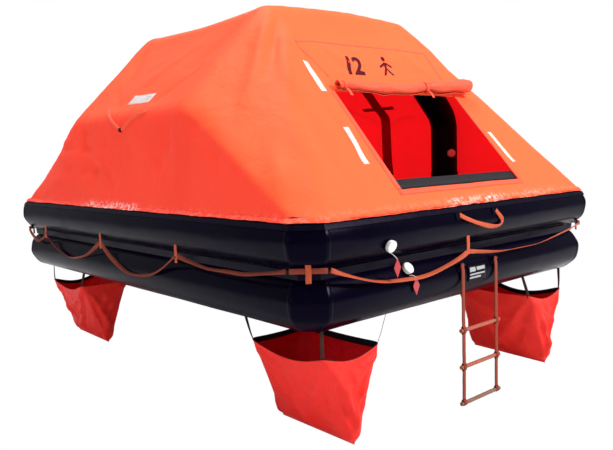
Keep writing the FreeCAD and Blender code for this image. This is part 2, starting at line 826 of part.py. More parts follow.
def ladder_anchor():
    """Two tube pads, each with a cross bar between two lugs."""
    bodies = []
    for side in (-1, 1):
        x = side * ladder_half_width
        base = front_pad("lower", x, anchor_width, bar_height - anchor_drop, bar_height + anchor_rise)
        lugs = []
        for end in (-1, 1):
            inner = x + end * (webbing_width / 2 + lug_gap + lug_width / 2)
            box = Part.makeBox(lug_width, lug_depth, 2 * lug_radius,
                               Vec(inner - lug_width / 2, -bar_out - 1, bar_height - lug_radius))
            round_end = Part.makeCylinder(lug_radius, lug_width, Vec(inner - lug_width / 2, -bar_out, bar_height),
                                          Vec(1, 0, 0))
            lugs.append(box.fuse(round_end).cut(tube_ring(tube_radius + touch + 1, "lower")))
        length = webbing_width + 2 * (lug_gap + lug_width)
        bar = Part.makeCylinder(bar_radius, length, Vec(x - length / 2, -bar_out, bar_height), Vec(1, 0, 0))
        bodies.append(base.multiFuse(lugs + [bar]))
    return Part.makeCompound(bodies)


rung_heights = [-ladder_top_rung_depth - k * ladder_pitch for k in range(ladder_rung_count)]
ladder_out = bar_out + bar_radius + eye_clearance + webbing_thickness / 2


def ladder_strap(side):
    """Webbing leg with an eye round the anchor bar and a loop round each rung."""
    x = side * ladder_half_width - webbing_width / 2
    eye = bar_radius + eye_clearance

    def loop(radius, y, z):
        outer = Part.makeCylinder(radius + webbing_thickness, webbing_width, Vec(x, y, z), Vec(1, 0, 0))
        return outer, Part.makeCylinder(radius, webbing_width, Vec(x, y, z), Vec(1, 0, 0))
    grip = rung_radius + touch
    outers, inners = [], []
    for radius, y, z in [(eye, -bar_out, bar_height)] + [(grip, -ladder_out, h) for h in rung_heights]:
        outer, inner = loop(radius, y, z)
        outers.append(outer)
        inners.append(inner)
    low = rung_heights[-1]
    leg = Part.makeBox(webbing_width, webbing_thickness, bar_height - low,
                       Vec(x, -ladder_out - webbing_thickness / 2, low))
    return leg.multiFuse(outers).cut(inners[0].multiFuse(inners[1:])).removeSplitter()


def ladder_rung(height):
    length = 2 * (ladder_half_width + webbing_width / 2 + rung_overhang)
    start = Vec(-length / 2, -ladder_out, height)
    return Part.makeCylinder(rung_radius, length, start, Vec(1, 0, 0)).cut(
        Part.makeCylinder(rung_radius - rung_wall, length, start, Vec(1, 0, 0)))


save("ladder_anchors", ladder_anchor())
save("ladder_strap_left", ladder_strap(-1))
save("ladder_strap_right", ladder_strap(1))
for name, height in zip(("upper", "middle", "lower"), rung_heights):
    save("ladder_rung_" + name, ladder_rung(height))

# ---------------------------------------------------------------- water pockets

def pocket_prism(inset, x0, y0, top):
    """Wedge-shaped sack volume: a rim rectangle above a bottom seam that runs along Y."""
    half_top = pocket_width / 2 - inset
    half_low = pocket_bottom_width / 2 - inset * 0.6
    low = -pocket_bottom_depth + inset
    share = (top + pocket_rim_depth) / (pocket_bottom_depth - pocket_rim_depth)
    half_top += (half_top - half_low) * share
    y_half = pocket_length / 2 - inset
    points = [(x0 - half_low, y0 - y_half, low), (x0 + half_low, y0 - y_half, low),
              (x0 + half_top, y0 - y_half, top), (x0 - half_top, y0 - y_half, top)]
    return face_of(points).extrude(Vec(0, 2 * y_half, 0))


def rim_cut(sx, sy, x0, y0, drop):
    """Everything above the rim, which droops between the corners on the two outer sides."""
    top = -pocket_rim_depth - drop
    cut = Part.makeBox(2 * pocket_width, 2 * pocket_length, pocket_length,
                       Vec(x0 - pocket_width, y0 - pocket_length, top))
    for chord, centre, axis, reach in (
            (pocket_length, Vec(x0 + sx * pocket_width * 0.15, y0, top), Vec(sx, 0, 0), pocket_width),
            (pocket_width, Vec(x0, y0 + sy * pocket_length * 0.35, top), Vec(0, sy, 0), pocket_length)):
        sag = pocket_lip_sag * chord / pocket_length
        radius = (chord * chord / 4 + sag * sag) / (2 * sag)
        cut = cut.fuse(Part.makeCylinder(radius, reach, centre + Vec(0, 0, radius - sag), axis))
    return cut


def water_pocket(sx, sy):
    x0, y0 = sx * pocket_across, sy * pocket_along
    shell = pocket_prism(0, x0, y0, -pocket_rim_depth).cut(
        pocket_prism(pocket_wall, x0, y0, -pocket_rim_depth + rim_open))
    return shell.cut(rim_cut(sx, sy, x0, y0, 0))


def pocket_hem(sx, sy):
    """Black webbing sewn round the inside of the rim."""
    x0, y0 = sx * pocket_across, sy * pocket_along
    band = pocket_prism(pocket_wall + touch, x0, y0, -pocket_rim_depth).cut(
        pocket_prism(pocket_wall + touch + pocket_hem_thickness, x0, y0, -pocket_rim_depth + rim_open))
    band = band.cut(rim_cut(sx, sy, x0, y0, 0)).common(rim_cut(sx, sy, x0, y0, pocket_hem_height))
    return max(band.Solids, key=lambda s: s.Volume)


def pocket_straps(sx, sy):
    """Four corner straps from the rim up to the tube's underside or the floor."""
    x0, y0 = sx * pocket_across, sy * pocket_along
    half_x, half_y = pocket_width / 2 - strap_inset[0], pocket_length / 2 - strap_inset[1]
    sewn = water_pocket(sx, sy).fuse(pocket_hem(sx, sy))
    straps = []
    for ax, ay in ((1, 1), (1, -1), (-1, 1), (-1, -1)):
        foot_x, foot_y = x0 + sx * ax * half_x, y0 + sy * ay * half_y
        top_x = foot_x - sx * (pocket_strap_spread if ax < 0 else 0)
        top_y = foot_y - sy * (pocket_strap_spread if ay < 0 else 0)
        if ax < 0 and ay < 0:
            top_x, top_y = foot_x, foot_y
        line = strap((foot_x, foot_y, -pocket_rim_depth - strap_foot), (top_x, top_y, tube_radius),
                     (-sy * ay, sx * ax, 0), pocket_strap_width, webbing_thickness)
        line = line.cut(lower_pad_cutter).cut(floor)
        low_part = min(line.Solids, key=lambda s: s.BoundBox.ZMin)
        straps.append(low_part.cut(sewn))
    return straps


corner_straps = []
for sy, end in ((-1, "front"), (1, "rear")):
    for sx, side in ((-1, "left"), (1, "right")):
        save("water_pocket_%s_%s" % (end, side), water_pocket(sx, sy))
        save("pocket_hem_%s_%s" % (end, side), pocket_hem(sx, sy))
        corner_straps += pocket_straps(sx, sy)
save("pocket_straps", Part.makeCompound(corner_straps))

# ---------------------------------------------------------------- valves

def to_place(shape, origin, outward):
    """Stand a shape built along +Z on an origin, with +Z turned to an outward direction."""
    shape = shape.copy()
    shape.Placement = FreeCAD.Placement(origin, FreeCAD.Rotation(up, outward))
    return shape


def turned(points):
    """Solid of revolution about Z from an (r, z) outline."""
    return face_of([(r, 0, z) for r, z in points]).revolve(Vec(), up, 360)


def valve(name, origin, outward, skin, pad_cutter):
    """A screwed-cap valve: glued flange, body with a seat, lifting disc and cap."""
    h, wall = valve_body_height, valve_seat_thickness
    flange = to_place(Part.makeCylinder(valve_flange_radius, 2 * valve_reach, Vec(0, 0, -valve_reach)),
                      origin, outward)
    flange = max(skin.common(flange).Solids, key=lambda s: s.Volume)
    seat_low = h - valve_seat_depth
    body = turned([(valve_seat_radius, -valve_foot), (valve_body_radius, -valve_foot), (valve_body_radius, h),
                   (valve_bore_radius, h), (valve_bore_radius, seat_low + wall),
                   (valve_seat_radius, seat_low + wall)])
    bridge = Part.makeBox(2 * (valve_seat_radius + 1), bridge_width, wall,
                          Vec(-valve_seat_radius - 1, -bridge_width / 2, seat_low))
    guide = Part.makeCylinder(poppet_stem_radius + guide_wall, wall, Vec(0, 0, seat_low))
    guide_bore = Part.makeCylinder(poppet_stem_radius + touch, wall, Vec(0, 0, seat_low))
    body = body.fuse(bridge).fuse(guide).cut(guide_bore)
    body = to_place(body, origin, outward).cut(pad_cutter)
    disc_z = seat_low + wall + touch
    disc = Part.makeCylinder(poppet_radius, poppet_thickness, Vec(0, 0, disc_z)).fuse(
        Part.makeCylinder(poppet_stem_radius, wall + 1.0, Vec(0, 0, disc_z - wall - 1.0)))
    cap_low = h - valve_cap_skirt
    cap_top = h + valve_cap_height
    lug_top = cap_top - cap_drop
    inner = valve_body_radius + valve_cap_lift
    cavity = disc_z + poppet_thickness + poppet_travel + 1.0
    cap = turned([(inner, cap_low), (valve_cap_radius, cap_low), (valve_cap_radius, lug_top),
                  (valve_cap_radius - cap_bevel, cap_top), (0, cap_top), (0, cavity), (poppet_radius + 1, cavity),
                  (poppet_radius + 1, h + valve_cap_lift), (inner, h + valve_cap_lift)])
    lugs = []
    for k in range(valve_cap_lugs):
        lug = Part.makeBox(valve_lug_reach + valve_lug_root, valve_lug_width, lug_top - cap_low,
                           Vec(valve_cap_radius - valve_lug_root, -valve_lug_width / 2, cap_low))
        lug.rotate(Vec(), up, 360.0 * k / valve_cap_lugs)
        lugs.append(lug)
    flanges.append(flange)
    bodies.append(max(body.Solids, key=lambda s: s.Volume))
    save(name + "_disc", to_place(disc, origin, outward))
    save(name + "_cap", to_place(cap.multiFuse(lugs), origin, outward))


flanges = []
bodies = []


def tube_place(which, x, angle):
    reach, height = on_tube(which, angle)
    turn = math.radians(angle)
    return Vec(x, -reach, height), Vec(0, -math.cos(turn), math.sin(turn))


upper_valve = tube_place("upper", upper_valve_place, upper_valve_angle)
lower_valve = tube_place("lower", lower_valve_place, lower_valve_angle)
valve("inflation_valve", upper_valve[0], upper_valve[1], upper_skin, upper_pad_cutter)
valve("relief_valve", lower_valve[0], lower_valve[1], lower_skin, lower_pad_cutter)

leg_axis = Vec(arch_leg, -arch_along, arch_valve_height)
turn = math.radians(180 + 90 - arch_valve_turn)
arch_outward = Vec(math.cos(turn), math.sin(turn), 0)


def leg_cylinder(radius):
    return Part.makeCylinder(radius, 2 * arch_bend_radius, leg_axis - Vec(0, 0, arch_bend_radius))


arch_skin = leg_cylinder(arch_radius + touch + patch_thickness).cut(leg_cylinder(arch_radius + touch))
valve("arch_valve", leg_axis + arch_outward * arch_radius, arch_outward, arch_skin,
      leg_cylinder(arch_radius + 2 * touch + patch_thickness))
save("valve_flanges", Part.makeCompound(flanges))
save("valve_bodies", Part.makeCompound(bodies))

# ---------------------------------------------------------------- tags on short lanyards

def tag(x, y, height):
    points = [(x - tag_half_width, y, height), (x, y, height - tag_half_height),
              (x + tag_half_width, y, height), (x, y, height + tag_half_height)]
    plate = face_of(points).extrude(Vec(0, tag_thickness, 0))
    hole = Part.makeCylinder(tag_hole_radius, 3 * tag_thickness,
                             Vec(x, y - tag_thickness, height + tag_half_height - tag_hole_drop), Vec(0, 1, 0))
    return plate.cut(hole)


save("inflation_valve_tag", tag(*upper_tag_place))
save("relief_valve_tag", tag(*lower_tag_place))


def lanyard(start, corner, place):
    """Short cord from a valve's flange to the hole in its tag."""
    end = (place[0], place[1] + tag_thickness / 2, place[2] + tag_half_height - tag_hole_drop + tag_hole_radius)
    route = [start, corner, end]
    runs = [(Vec(*b) - Vec(*a)).Length for a, b in zip(route, route[1:])]
    a = (Vec(*start) - Vec(*corner)).normalize()
    b = (Vec(*end) - Vec(*corner)).normalize()
    radius = 0.45 * min(runs) * math.tan(a.getAngle(b) / 2)
    return pipe(bent_path(route, radius), lanyard_radius).cut(tag(*place))


def flange_edge(place, outward):
    """Lowest place on a valve flange's rim, where its lanyard is tied."""
    down = Vec(0, 0, -1)
    down = (down - outward * down.dot(outward)).normalize()
    return place + outward * 1.0 + down * (valve_flange_radius + lanyard_radius + touch / 2)


upper_tie = flange_edge(*upper_valve)
lower_tie = flange_edge(*lower_valve)
save("inflation_valve_lanyard",
     lanyard(tuple(upper_tie), (upper_tie.x + 16, upper_tag_place[1] + 4, upper_tie.z - 12), upper_tag_place))
save("relief_valve_lanyard",
     lanyard(tuple(lower_tie), (lower_tie.x + 12, lower_tag_place[1] + 2, lower_tie.z + 6), lower_tag_place))

# ---------------------------------------------------------------- gas cylinder under the floor

floor_low = floor_underside - floor_rib_rise
cylinder_z = floor_low - sleeve_thickness - cylinder_radius - 2 * touch


def along_x(shape):
    """Turn a shape built along +Z to lie along +X under the floor."""
    shape = shape.copy()
    shape.Placement = FreeCAD.Placement(Vec(-cylinder_length / 2, cylinder_along, cylinder_z),
                                        FreeCAD.Rotation(Vec(0, 1, 0), 90))
    return shape


def gas_cylinder():
    """Steel bottle with a domed base, a shoulder and a neck."""
    r, length = cylinder_radius, cylinder_length
    dome = dome_share * r
    bottle = turned([(0, 0), (r - dome, 0), (r, dome), (r, length - dome), (r - dome, length),
                     (neck_radius, length), (neck_radius, length + neck_length), (0, length + neck_length)])
    return along_x(bottle)


def cylinder_head():
    """Operating head with its two hose outlets capped."""
    base = cylinder_length + neck_length + touch
    head = turned([(0, base), (head_radius, base), (head_radius, base + head_length - head_chamfer),
                   (head_radius - head_chamfer, base + head_length), (0, base + head_length)])
    reach, z = head_radius + outlet_reach, base + outlet_height
    outlet = Part.makeCylinder(outlet_radius, 2 * reach, Vec(0, -reach, z), Vec(0, 1, 0))
    caps = [Part.makeCylinder(outlet_cap_radius, outlet_cap_length, Vec(0, y, z), Vec(0, 1, 0))
            for y in (-reach, reach - outlet_cap_length)]
    return along_x(head.fuse(outlet).multiFuse(caps))


def cylinder_sleeve():
    """Fabric sleeve hung under the floor, open at both ends."""
    length = cylinder_length * sleeve_share
    r = cylinder_radius + touch
    start = Vec(-length / 2, cylinder_along, cylinder_z)
    wrap = Part.makeCylinder(r + sleeve_thickness, length, start, Vec(1, 0, 0)).cut(
        Part.makeCylinder(r, length, start, Vec(1, 0, 0)))
    flaps = Part.makeBox(length, 2 * (r + flap_reach), sleeve_thickness,
                         Vec(-length / 2, cylinder_along - r - flap_reach, cylinder_z + r))
    return wrap.fuse(flaps).cut(Part.makeCylinder(r, length, start, Vec(1, 0, 0))).cut(floor)


def cylinder_straps():
    straps = []
    r = cylinder_radius + sleeve_thickness + 2 * touch
    for x in strap_places:
        start = Vec(x - webbing_width / 2, cylinder_along, cylinder_z)
        band = Part.makeCylinder(r + cylinder_strap_thickness, webbing_width, start, Vec(1, 0, 0)).cut(
            Part.makeCylinder(r, webbing_width, start, Vec(1, 0, 0)))
        corner = Vec(x - webbing_width, cylinder_along - 2 * r, cylinder_z - r)
        keep = Part.makeBox(2 * webbing_width, 4 * r, 2 * r, corner - Vec(0, 0, strap_tail))
        top = Part.makeBox(2 * webbing_width, 4 * r, r, corner + Vec(0, 0, 2 * r - strap_opening))
        straps.append(max(band.common(keep).cut(top).Solids, key=lambda s: s.Volume))
    return Part.makeCompound(straps)


save("gas_cylinder", gas_cylinder())
save("gas_cylinder_head", cylinder_head())
save("gas_cylinder_sleeve", cylinder_sleeve())
save("gas_cylinder_straps", cylinder_straps())
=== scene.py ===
import math

import bmesh
import bpy
import numpy as np
from mathutils import Matrix, Vector


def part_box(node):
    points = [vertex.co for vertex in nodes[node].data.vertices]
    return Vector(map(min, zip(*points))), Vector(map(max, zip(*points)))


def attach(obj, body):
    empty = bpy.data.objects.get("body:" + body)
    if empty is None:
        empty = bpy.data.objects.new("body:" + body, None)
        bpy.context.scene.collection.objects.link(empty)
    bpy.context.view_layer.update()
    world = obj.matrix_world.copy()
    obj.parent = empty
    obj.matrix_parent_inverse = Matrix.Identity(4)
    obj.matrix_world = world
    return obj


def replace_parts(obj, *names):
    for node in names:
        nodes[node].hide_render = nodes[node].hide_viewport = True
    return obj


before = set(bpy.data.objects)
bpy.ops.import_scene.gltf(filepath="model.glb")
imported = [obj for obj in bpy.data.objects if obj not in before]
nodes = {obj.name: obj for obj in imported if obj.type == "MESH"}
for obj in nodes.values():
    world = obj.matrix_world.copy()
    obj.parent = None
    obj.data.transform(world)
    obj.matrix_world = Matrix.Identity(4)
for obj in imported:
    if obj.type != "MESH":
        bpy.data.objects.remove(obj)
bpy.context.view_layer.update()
print("frame loaded:", len(nodes), "nodes")

# Small mesh tools


# Quads of a grid of rows by cols points, joined round where asked.
def gridQuads(rows, cols, wrapRows=False, wrapCols=False):
    r = np.arange(rows if wrapRows else rows - 1)
    c = np.arange(cols if wrapCols else cols - 1)
    rr, cc = np.meshgrid(r, c, indexing="ij")
    r2, c2 = (rr + 1) % rows, (cc + 1) % cols
    quads = np.stack([rr * cols + cc, rr * cols + c2, r2 * cols + c2, r2 * cols + cc], axis=-1)
    return quads.reshape(-1, 4)


# A mesh object from point and face lists, smooth shaded, riding on a body.
def makePiece(name, points, faces, materials, body="raft", uv=None):
    mesh = bpy.data.meshes.new(name)
    places = np.asarray(points, float).reshape(-1, 3)
    mesh.from_pydata(places.tolist(), [], [list(map(int, f)) for f in faces])
    mesh.polygons.foreach_set("use_smooth", [True] * len(mesh.polygons))
    if uv is not None:
        layer = mesh.uv_layers.new(name="cloth")
        loops = np.zeros(len(mesh.loops), np.int32)
        mesh.loops.foreach_get("vertex_index", loops)
        layer.data.foreach_set("uv", np.asarray(uv, float).reshape(-1, 2)[loops].ravel())
    for material in materials if isinstance(materials, (list, tuple)) else [materials]:
        mesh.materials.append(material)
    mesh.validate()
    mesh.update()
    obj = bpy.data.objects.new(name, mesh)
    bpy.context.scene.collection.objects.link(obj)
    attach(obj, body)
    return obj


# A named number for each point, which a material can read.
def setAttribute(obj, name, values):
    layer = obj.data.attributes.new(name, "FLOAT", "POINT")
    layer.data.foreach_set("value", np.asarray(values, np.float32))


# Closed thin slab between an upper and a lower grid of the same shape.
def slabFaces(rows, cols):
    count = rows * cols
    top = gridQuads(rows, cols)
    low = gridQuads(rows, cols)[:, ::-1] + count
    rim = list(range(cols)) + [r * cols + cols - 1 for r in range(1, rows)]
    rim += [(rows - 1) * cols + c for c in range(cols - 2, -1, -1)]
    rim += [r * cols for r in range(rows - 2, 0, -1)]
    rim = np.array(rim)
    after = np.roll(rim, -1)
    side = np.stack([rim, rim + count, after + count, after], axis=-1)
    return np.concatenate([top, low, side])


# Length of each row of vectors.
def lengths(v):
    return np.sqrt((v * v).sum(axis=-1, keepdims=True))


# Each row of vectors divided by its length.
def unit(v):
    return v / np.maximum(lengths(v), 1e-9)


# Points along straight runs whose corners are rounded by repeated corner cutting.
def softLine(points, rounds=3):
    p = np.asarray(points, float)
    for _ in range(rounds):
        a = p[:-1] * 0.75 + p[1:] * 0.25
        b = p[:-1] * 0.25 + p[1:] * 0.75
        mixed = np.empty((2 * len(a), 3))
        mixed[0::2], mixed[1::2] = a, b
        p = np.concatenate([p[:1], mixed, p[-1:]])
    return p


# The same line with its points at even spacing.
def evenLine(points, count):
    p = np.asarray(points, float)
    along = np.concatenate([[0], np.cumsum(lengths(np.diff(p, axis=0))[:, 0])])
    places = np.linspace(0, along[-1], count)
    return np.stack([np.interp(places, along, p[:, k]) for k in range(3)], axis=-1), places


# Flat webbing along a line: an oblong section with rounded edges, its face turned to the given normals.
def ribbon(points, normals, width, thickness):
    p = np.asarray(points, float)
    tangent = unit(np.gradient(p, axis=0))
    normal = np.asarray(normals, float)
    normal = unit(normal - tangent * (normal * tangent).sum(axis=1, keepdims=True))
    across = np.cross(tangent, normal)
    w, t = width / 2, thickness / 2
    section = [(-w, -t * 0.4), (-w * 0.94, -t), (0, -t * 0.9), (w * 0.94, -t), (w, -t * 0.4),
               (w, t * 0.4), (w * 0.94, t), (0, t * 0.9), (-w * 0.94, t), (-w, t * 0.4)]
    rings = np.stack([p + across * a + normal * b for a, b in section], axis=1)
    count, around = rings.shape[:2]
    faces = [list(q) for q in gridQuads(count, around, wrapCols=True)]
    faces.append(list(range(around))[::-1])
    faces.append([(count - 1) * around + k for k in range(around)])
    along = np.concatenate([[0], np.cumsum(lengths(np.diff(p, axis=0))[:, 0])])
    uv = np.stack([np.repeat(along, around), np.tile([a + w for a, _ in section], count)], axis=-1)
    return rings.reshape(-1, 3), faces, uv


# Several point and face sets as one set.
def joined(parts):
    points, faces, uvs, start = [], [], [], 0
    for part in parts:
        points.append(np.asarray(part[0], float).reshape(-1, 3))
        faces += [[int(i) + start for i in f] for f in part[1]]
        uvs.append(np.asarray(part[2], float).reshape(-1, 2) if len(part) > 2 else points[-1][:, :2])
        start += len(points[-1])
    return np.concatenate(points), faces, np.concatenate(uvs)


# Soft noise between -1 and 1: sines in several turned directions with set phases.
def waves(a, b, scale, seed):
    rng = np.random.default_rng(seed)
    total, weight = 0.0, 0.0
    for k in range(4):
        turn, phase, step = rng.uniform(0, math.pi), rng.uniform(0, 6.28), scale * 1.7 ** k
        bend = rng.uniform(0.4, 1.1)
        u = a * math.cos(turn) + b * math.sin(turn)
        v = -a * math.sin(turn) + b * math.cos(turn)
        total = total + np.sin(u * step * 6.28 + bend * np.sin(v * step * 4.1 + phase) + phase) / 1.5 ** k
        weight += 1 / 1.5 ** k
    return total / weight


# A smooth step from 0 to 1 between two values.
def ease(value, low, high):
    t = np.clip((value - low) / (high - low), 0, 1)
    return t * t * (3 - 2 * t)


# The camera, set where the raft's near left corner faces it

view = {"eye": (-3.0563, -3.8097, 0.8076), "forward": (0.65332, 0.74962, -0.10604),
        "up": (0.09624, 0.05670, 0.99374), "lens": 39.93, "sensor": 36.0}


# The camera looks along forward, and its sides are the cross products of that with up.
def addCamera():
    data = bpy.data.cameras.new("camera")
    data.lens = view["lens"]
    data.sensor_width = view["sensor"]
    camera = bpy.data.objects.new("camera", data)
    bpy.context.scene.collection.objects.link(camera)
    forward = Vector(view["forward"]).normalized()
    right = forward.cross(Vector(view["up"])).normalized()
    top = right.cross(forward)
    turn = Matrix((right, top, -forward)).transposed()
    camera.matrix_world = Matrix.Translation(Vector(view["eye"])) @ turn.to_4x4()
    bpy.context.scene.camera = camera


addCamera()
print("camera set")

# Materials, with the groups they share first

groups = {}


# A node group with named sockets: sockets is a list of (name, kind, default), kinds float, colour or vector.
def newGroup(name, sockets, results):
    tree = bpy.data.node_groups.new(name, "ShaderNodeTree")
    kinds = {"float": "NodeSocketFloat", "colour": "NodeSocketColor", "vector": "NodeSocketVector"}
    for label, kind, value in sockets:
        socket = tree.interface.new_socket(label, in_out="INPUT", socket_type=kinds[kind])
        if value is not None:
            socket.default_value = value
    for label, kind in results:
        tree.interface.new_socket(label, in_out="OUTPUT", socket_type=kinds[kind])
    groups[name] = tree
    return tree, tree.nodes.new("NodeGroupInput"), tree.nodes.new("NodeGroupOutput")


# A node with its settings, and its inputs by name with _ for a blank.
def addNode(tree, kind, settings=None, **values):
    node = tree.nodes.new(kind)
    for key, value in (settings or {}).items():
        setattr(node, key, value)
    for key, value in values.items():
        node.inputs[key.replace("_", " ")].default_value = value
    return node


# One sum or product of two values.
def mathNode(tree, operation, a, b=None, clamp=False):
    node = tree.nodes.new("ShaderNodeMath")
    node.operation = operation
    node.use_clamp = clamp
    for socket, value in zip(node.inputs, (a, b)):
        if value is None:
            continue
        if isinstance(value, (int, float)):
            socket.default_value = value
        else:
            tree.links.new(value, socket)
    return node.outputs[0]


# A mix of two colours by a factor.
def mixColour(tree, factor, a, b):
    node = tree.nodes.new("ShaderNodeMix")
    node.data_type = "RGBA"
    for socket, value in zip((node.inputs[0], node.inputs[6], node.inputs[7]), (factor, a, b)):
        if isinstance(value, bpy.types.NodeSocket):
            tree.links.new(value, socket)
        elif isinstance(value, (int, float)):
            socket.default_value = value
        else:
            socket.default_value = (*value, 1.0)
    return node.outputs[2]


# A smooth step from 0 to 1 between two values of a socket.
def ramp(tree, value, low, high):
    node = tree.nodes.new("ShaderNodeMapRange")
    node.interpolation_type = "SMOOTHSTEP"
    tree.links.new(value, node.inputs["Value"])
    node.inputs["From Min"].default_value = low
    node.inputs["From Max"].default_value = high
    return node.outputs["Result"]


# Woven cloth: the greater of two sine bands over a cloth map in metres, as a normal.
def weaveGroup():
    tree, start, end = newGroup("weave", [("Map", "vector", None), ("Threads per metre", "float", 900.0),
                                          ("Depth", "float", 0.2)],
                                [("Normal", "vector")])
    link = tree.links.new
    split = addNode(tree, "ShaderNodeSeparateXYZ")
    link(start.outputs["Map"], split.inputs[0])
    bands = []
    for axis in (0, 1):
        turn = mathNode(tree, "MULTIPLY", split.outputs[axis], start.outputs["Threads per metre"])
        bands.append(mathNode(tree, "SINE", mathNode(tree, "MULTIPLY", turn, 6.2832)))
    both = mathNode(tree, "MAXIMUM", bands[0], bands[1])
    height = mathNode(tree, "ADD", mathNode(tree, "MULTIPLY", both, 0.5), 0.5)
    bump = addNode(tree, "ShaderNodeBump", Distance=0.0004)
    link(height, bump.inputs["Height"])
    link(start.outputs["Depth"], bump.inputs["Strength"])
    link(bump.outputs[0], end.inputs["Normal"])


# Soft creases: two noises of different size over object coordinates, bumped over a given normal.
def creaseGroup():
    tree, start, end = newGroup("creases", [("Normal", "vector", None), ("Size", "float", 6.0),
                                            ("Depth", "float", 0.3), ("Fine depth", "float", 0.1)],
                                [("Normal", "vector")])
    link = tree.links.new
    place = addNode(tree, "ShaderNodeTexCoord")
    broad = addNode(tree, "ShaderNodeTexNoise", Detail=4.0, Roughness=0.55, Distortion=0.8)
    link(place.outputs["Object"], broad.inputs["Vector"])
    link(start.outputs["Size"], broad.inputs["Scale"])
    fine = addNode(tree, "ShaderNodeTexNoise", Detail=3.0, Roughness=0.5, Distortion=1.6)
    link(place.outputs["Object"], fine.inputs["Vector"])
    link(mathNode(tree, "MULTIPLY", start.outputs["Size"], 5.0), fine.inputs["Scale"])
    first = addNode(tree, "ShaderNodeBump", Distance=0.02)
    link(broad.outputs[0], first.inputs["Height"])
    link(start.outputs["Depth"], first.inputs["Strength"])
    link(start.outputs["Normal"], first.inputs["Normal"])
    second = addNode(tree, "ShaderNodeBump", Distance=0.004)
    link(fine.outputs[0], second.inputs["Height"])
    link(start.outputs["Fine depth"], second.inputs["Strength"])
    link(first.outputs[0], second.inputs["Normal"])
    link(second.outputs[0], end.inputs["Normal"])


# Uneven colour: broad fading and small specks laid over a base colour.
def fadeGroup():
    tree, start, end = newGroup("fade", [("Base", "colour", (1, 1, 1, 1)), ("Faded", "colour", (1, 1, 1, 1)),
                                         ("Stain", "colour", (0, 0, 0, 1)), ("Amount", "float", 0.4),
                                         ("Specks", "float", 0.2), ("Size", "float", 3.0)],
                                [("Colour", "colour"), ("Rough", "float")])
    link = tree.links.new
    place = addNode(tree, "ShaderNodeTexCoord")
    broad = addNode(tree, "ShaderNodeTexNoise", Detail=5.0, Roughness=0.6)
    link(place.outputs["Object"], broad.inputs["Vector"])
    link(start.outputs["Size"], broad.inputs["Scale"])
    specks = addNode(tree, "ShaderNodeTexNoise", Scale=55.0, Detail=4.0, Roughness=0.7)
    link(place.outputs["Object"], specks.inputs["Vector"])
    wide = mathNode(tree, "MULTIPLY", ramp(tree, broad.outputs[0], 0.35, 0.7), start.outputs["Amount"])
    faded = mixColour(tree, wide, start.outputs["Base"], start.outputs["Faded"])
    spot = mathNode(tree, "MULTIPLY", ramp(tree, specks.outputs[0], 0.56, 0.72), start.outputs["Specks"])
    link(mixColour(tree, spot, faded, start.outputs["Stain"]), end.inputs["Colour"])
    link(mathNode(tree, "ADD", mathNode(tree, "MULTIPLY", broad.outputs[0], 0.3), spot), end.inputs["Rough"])


weaveGroup()
creaseGroup()
fadeGroup()


# A material whose tree starts empty but for its output.
def newMaterial(name):
    material = bpy.data.materials.new(name)
    material.use_nodes = True
    tree = material.node_tree
    tree.nodes.clear()
    return material, tree, tree.nodes.new("ShaderNodeOutputMaterial")


# One of the shared groups in a material, with that material's own values.
def useGroup(tree, name, **values):
    node = tree.nodes.new("ShaderNodeGroup")
    node.node_tree = groups[name]
    for key, value in values.items():
        socket = node.inputs[key.replace("_", " ")]
        socket.default_value = (*value, 1.0) if isinstance(value, tuple) else value
    return node


roughMean = 0.15  # what the fade group adds to the roughness on the whole


# The colour, roughness and normal of a shader, from the fade and crease groups.
def feedSkin(tree, skin, colour, fade, creases, rough):
    tree.links.new(colour, skin.inputs["Base Color"])
    uneven = mathNode(tree, "ADD", fade.outputs["Rough"], rough - roughMean, clamp=True)
    tree.links.new(uneven, skin.inputs["Roughness"])
    tree.links.new(creases.outputs["Normal"], skin.inputs["Normal"])


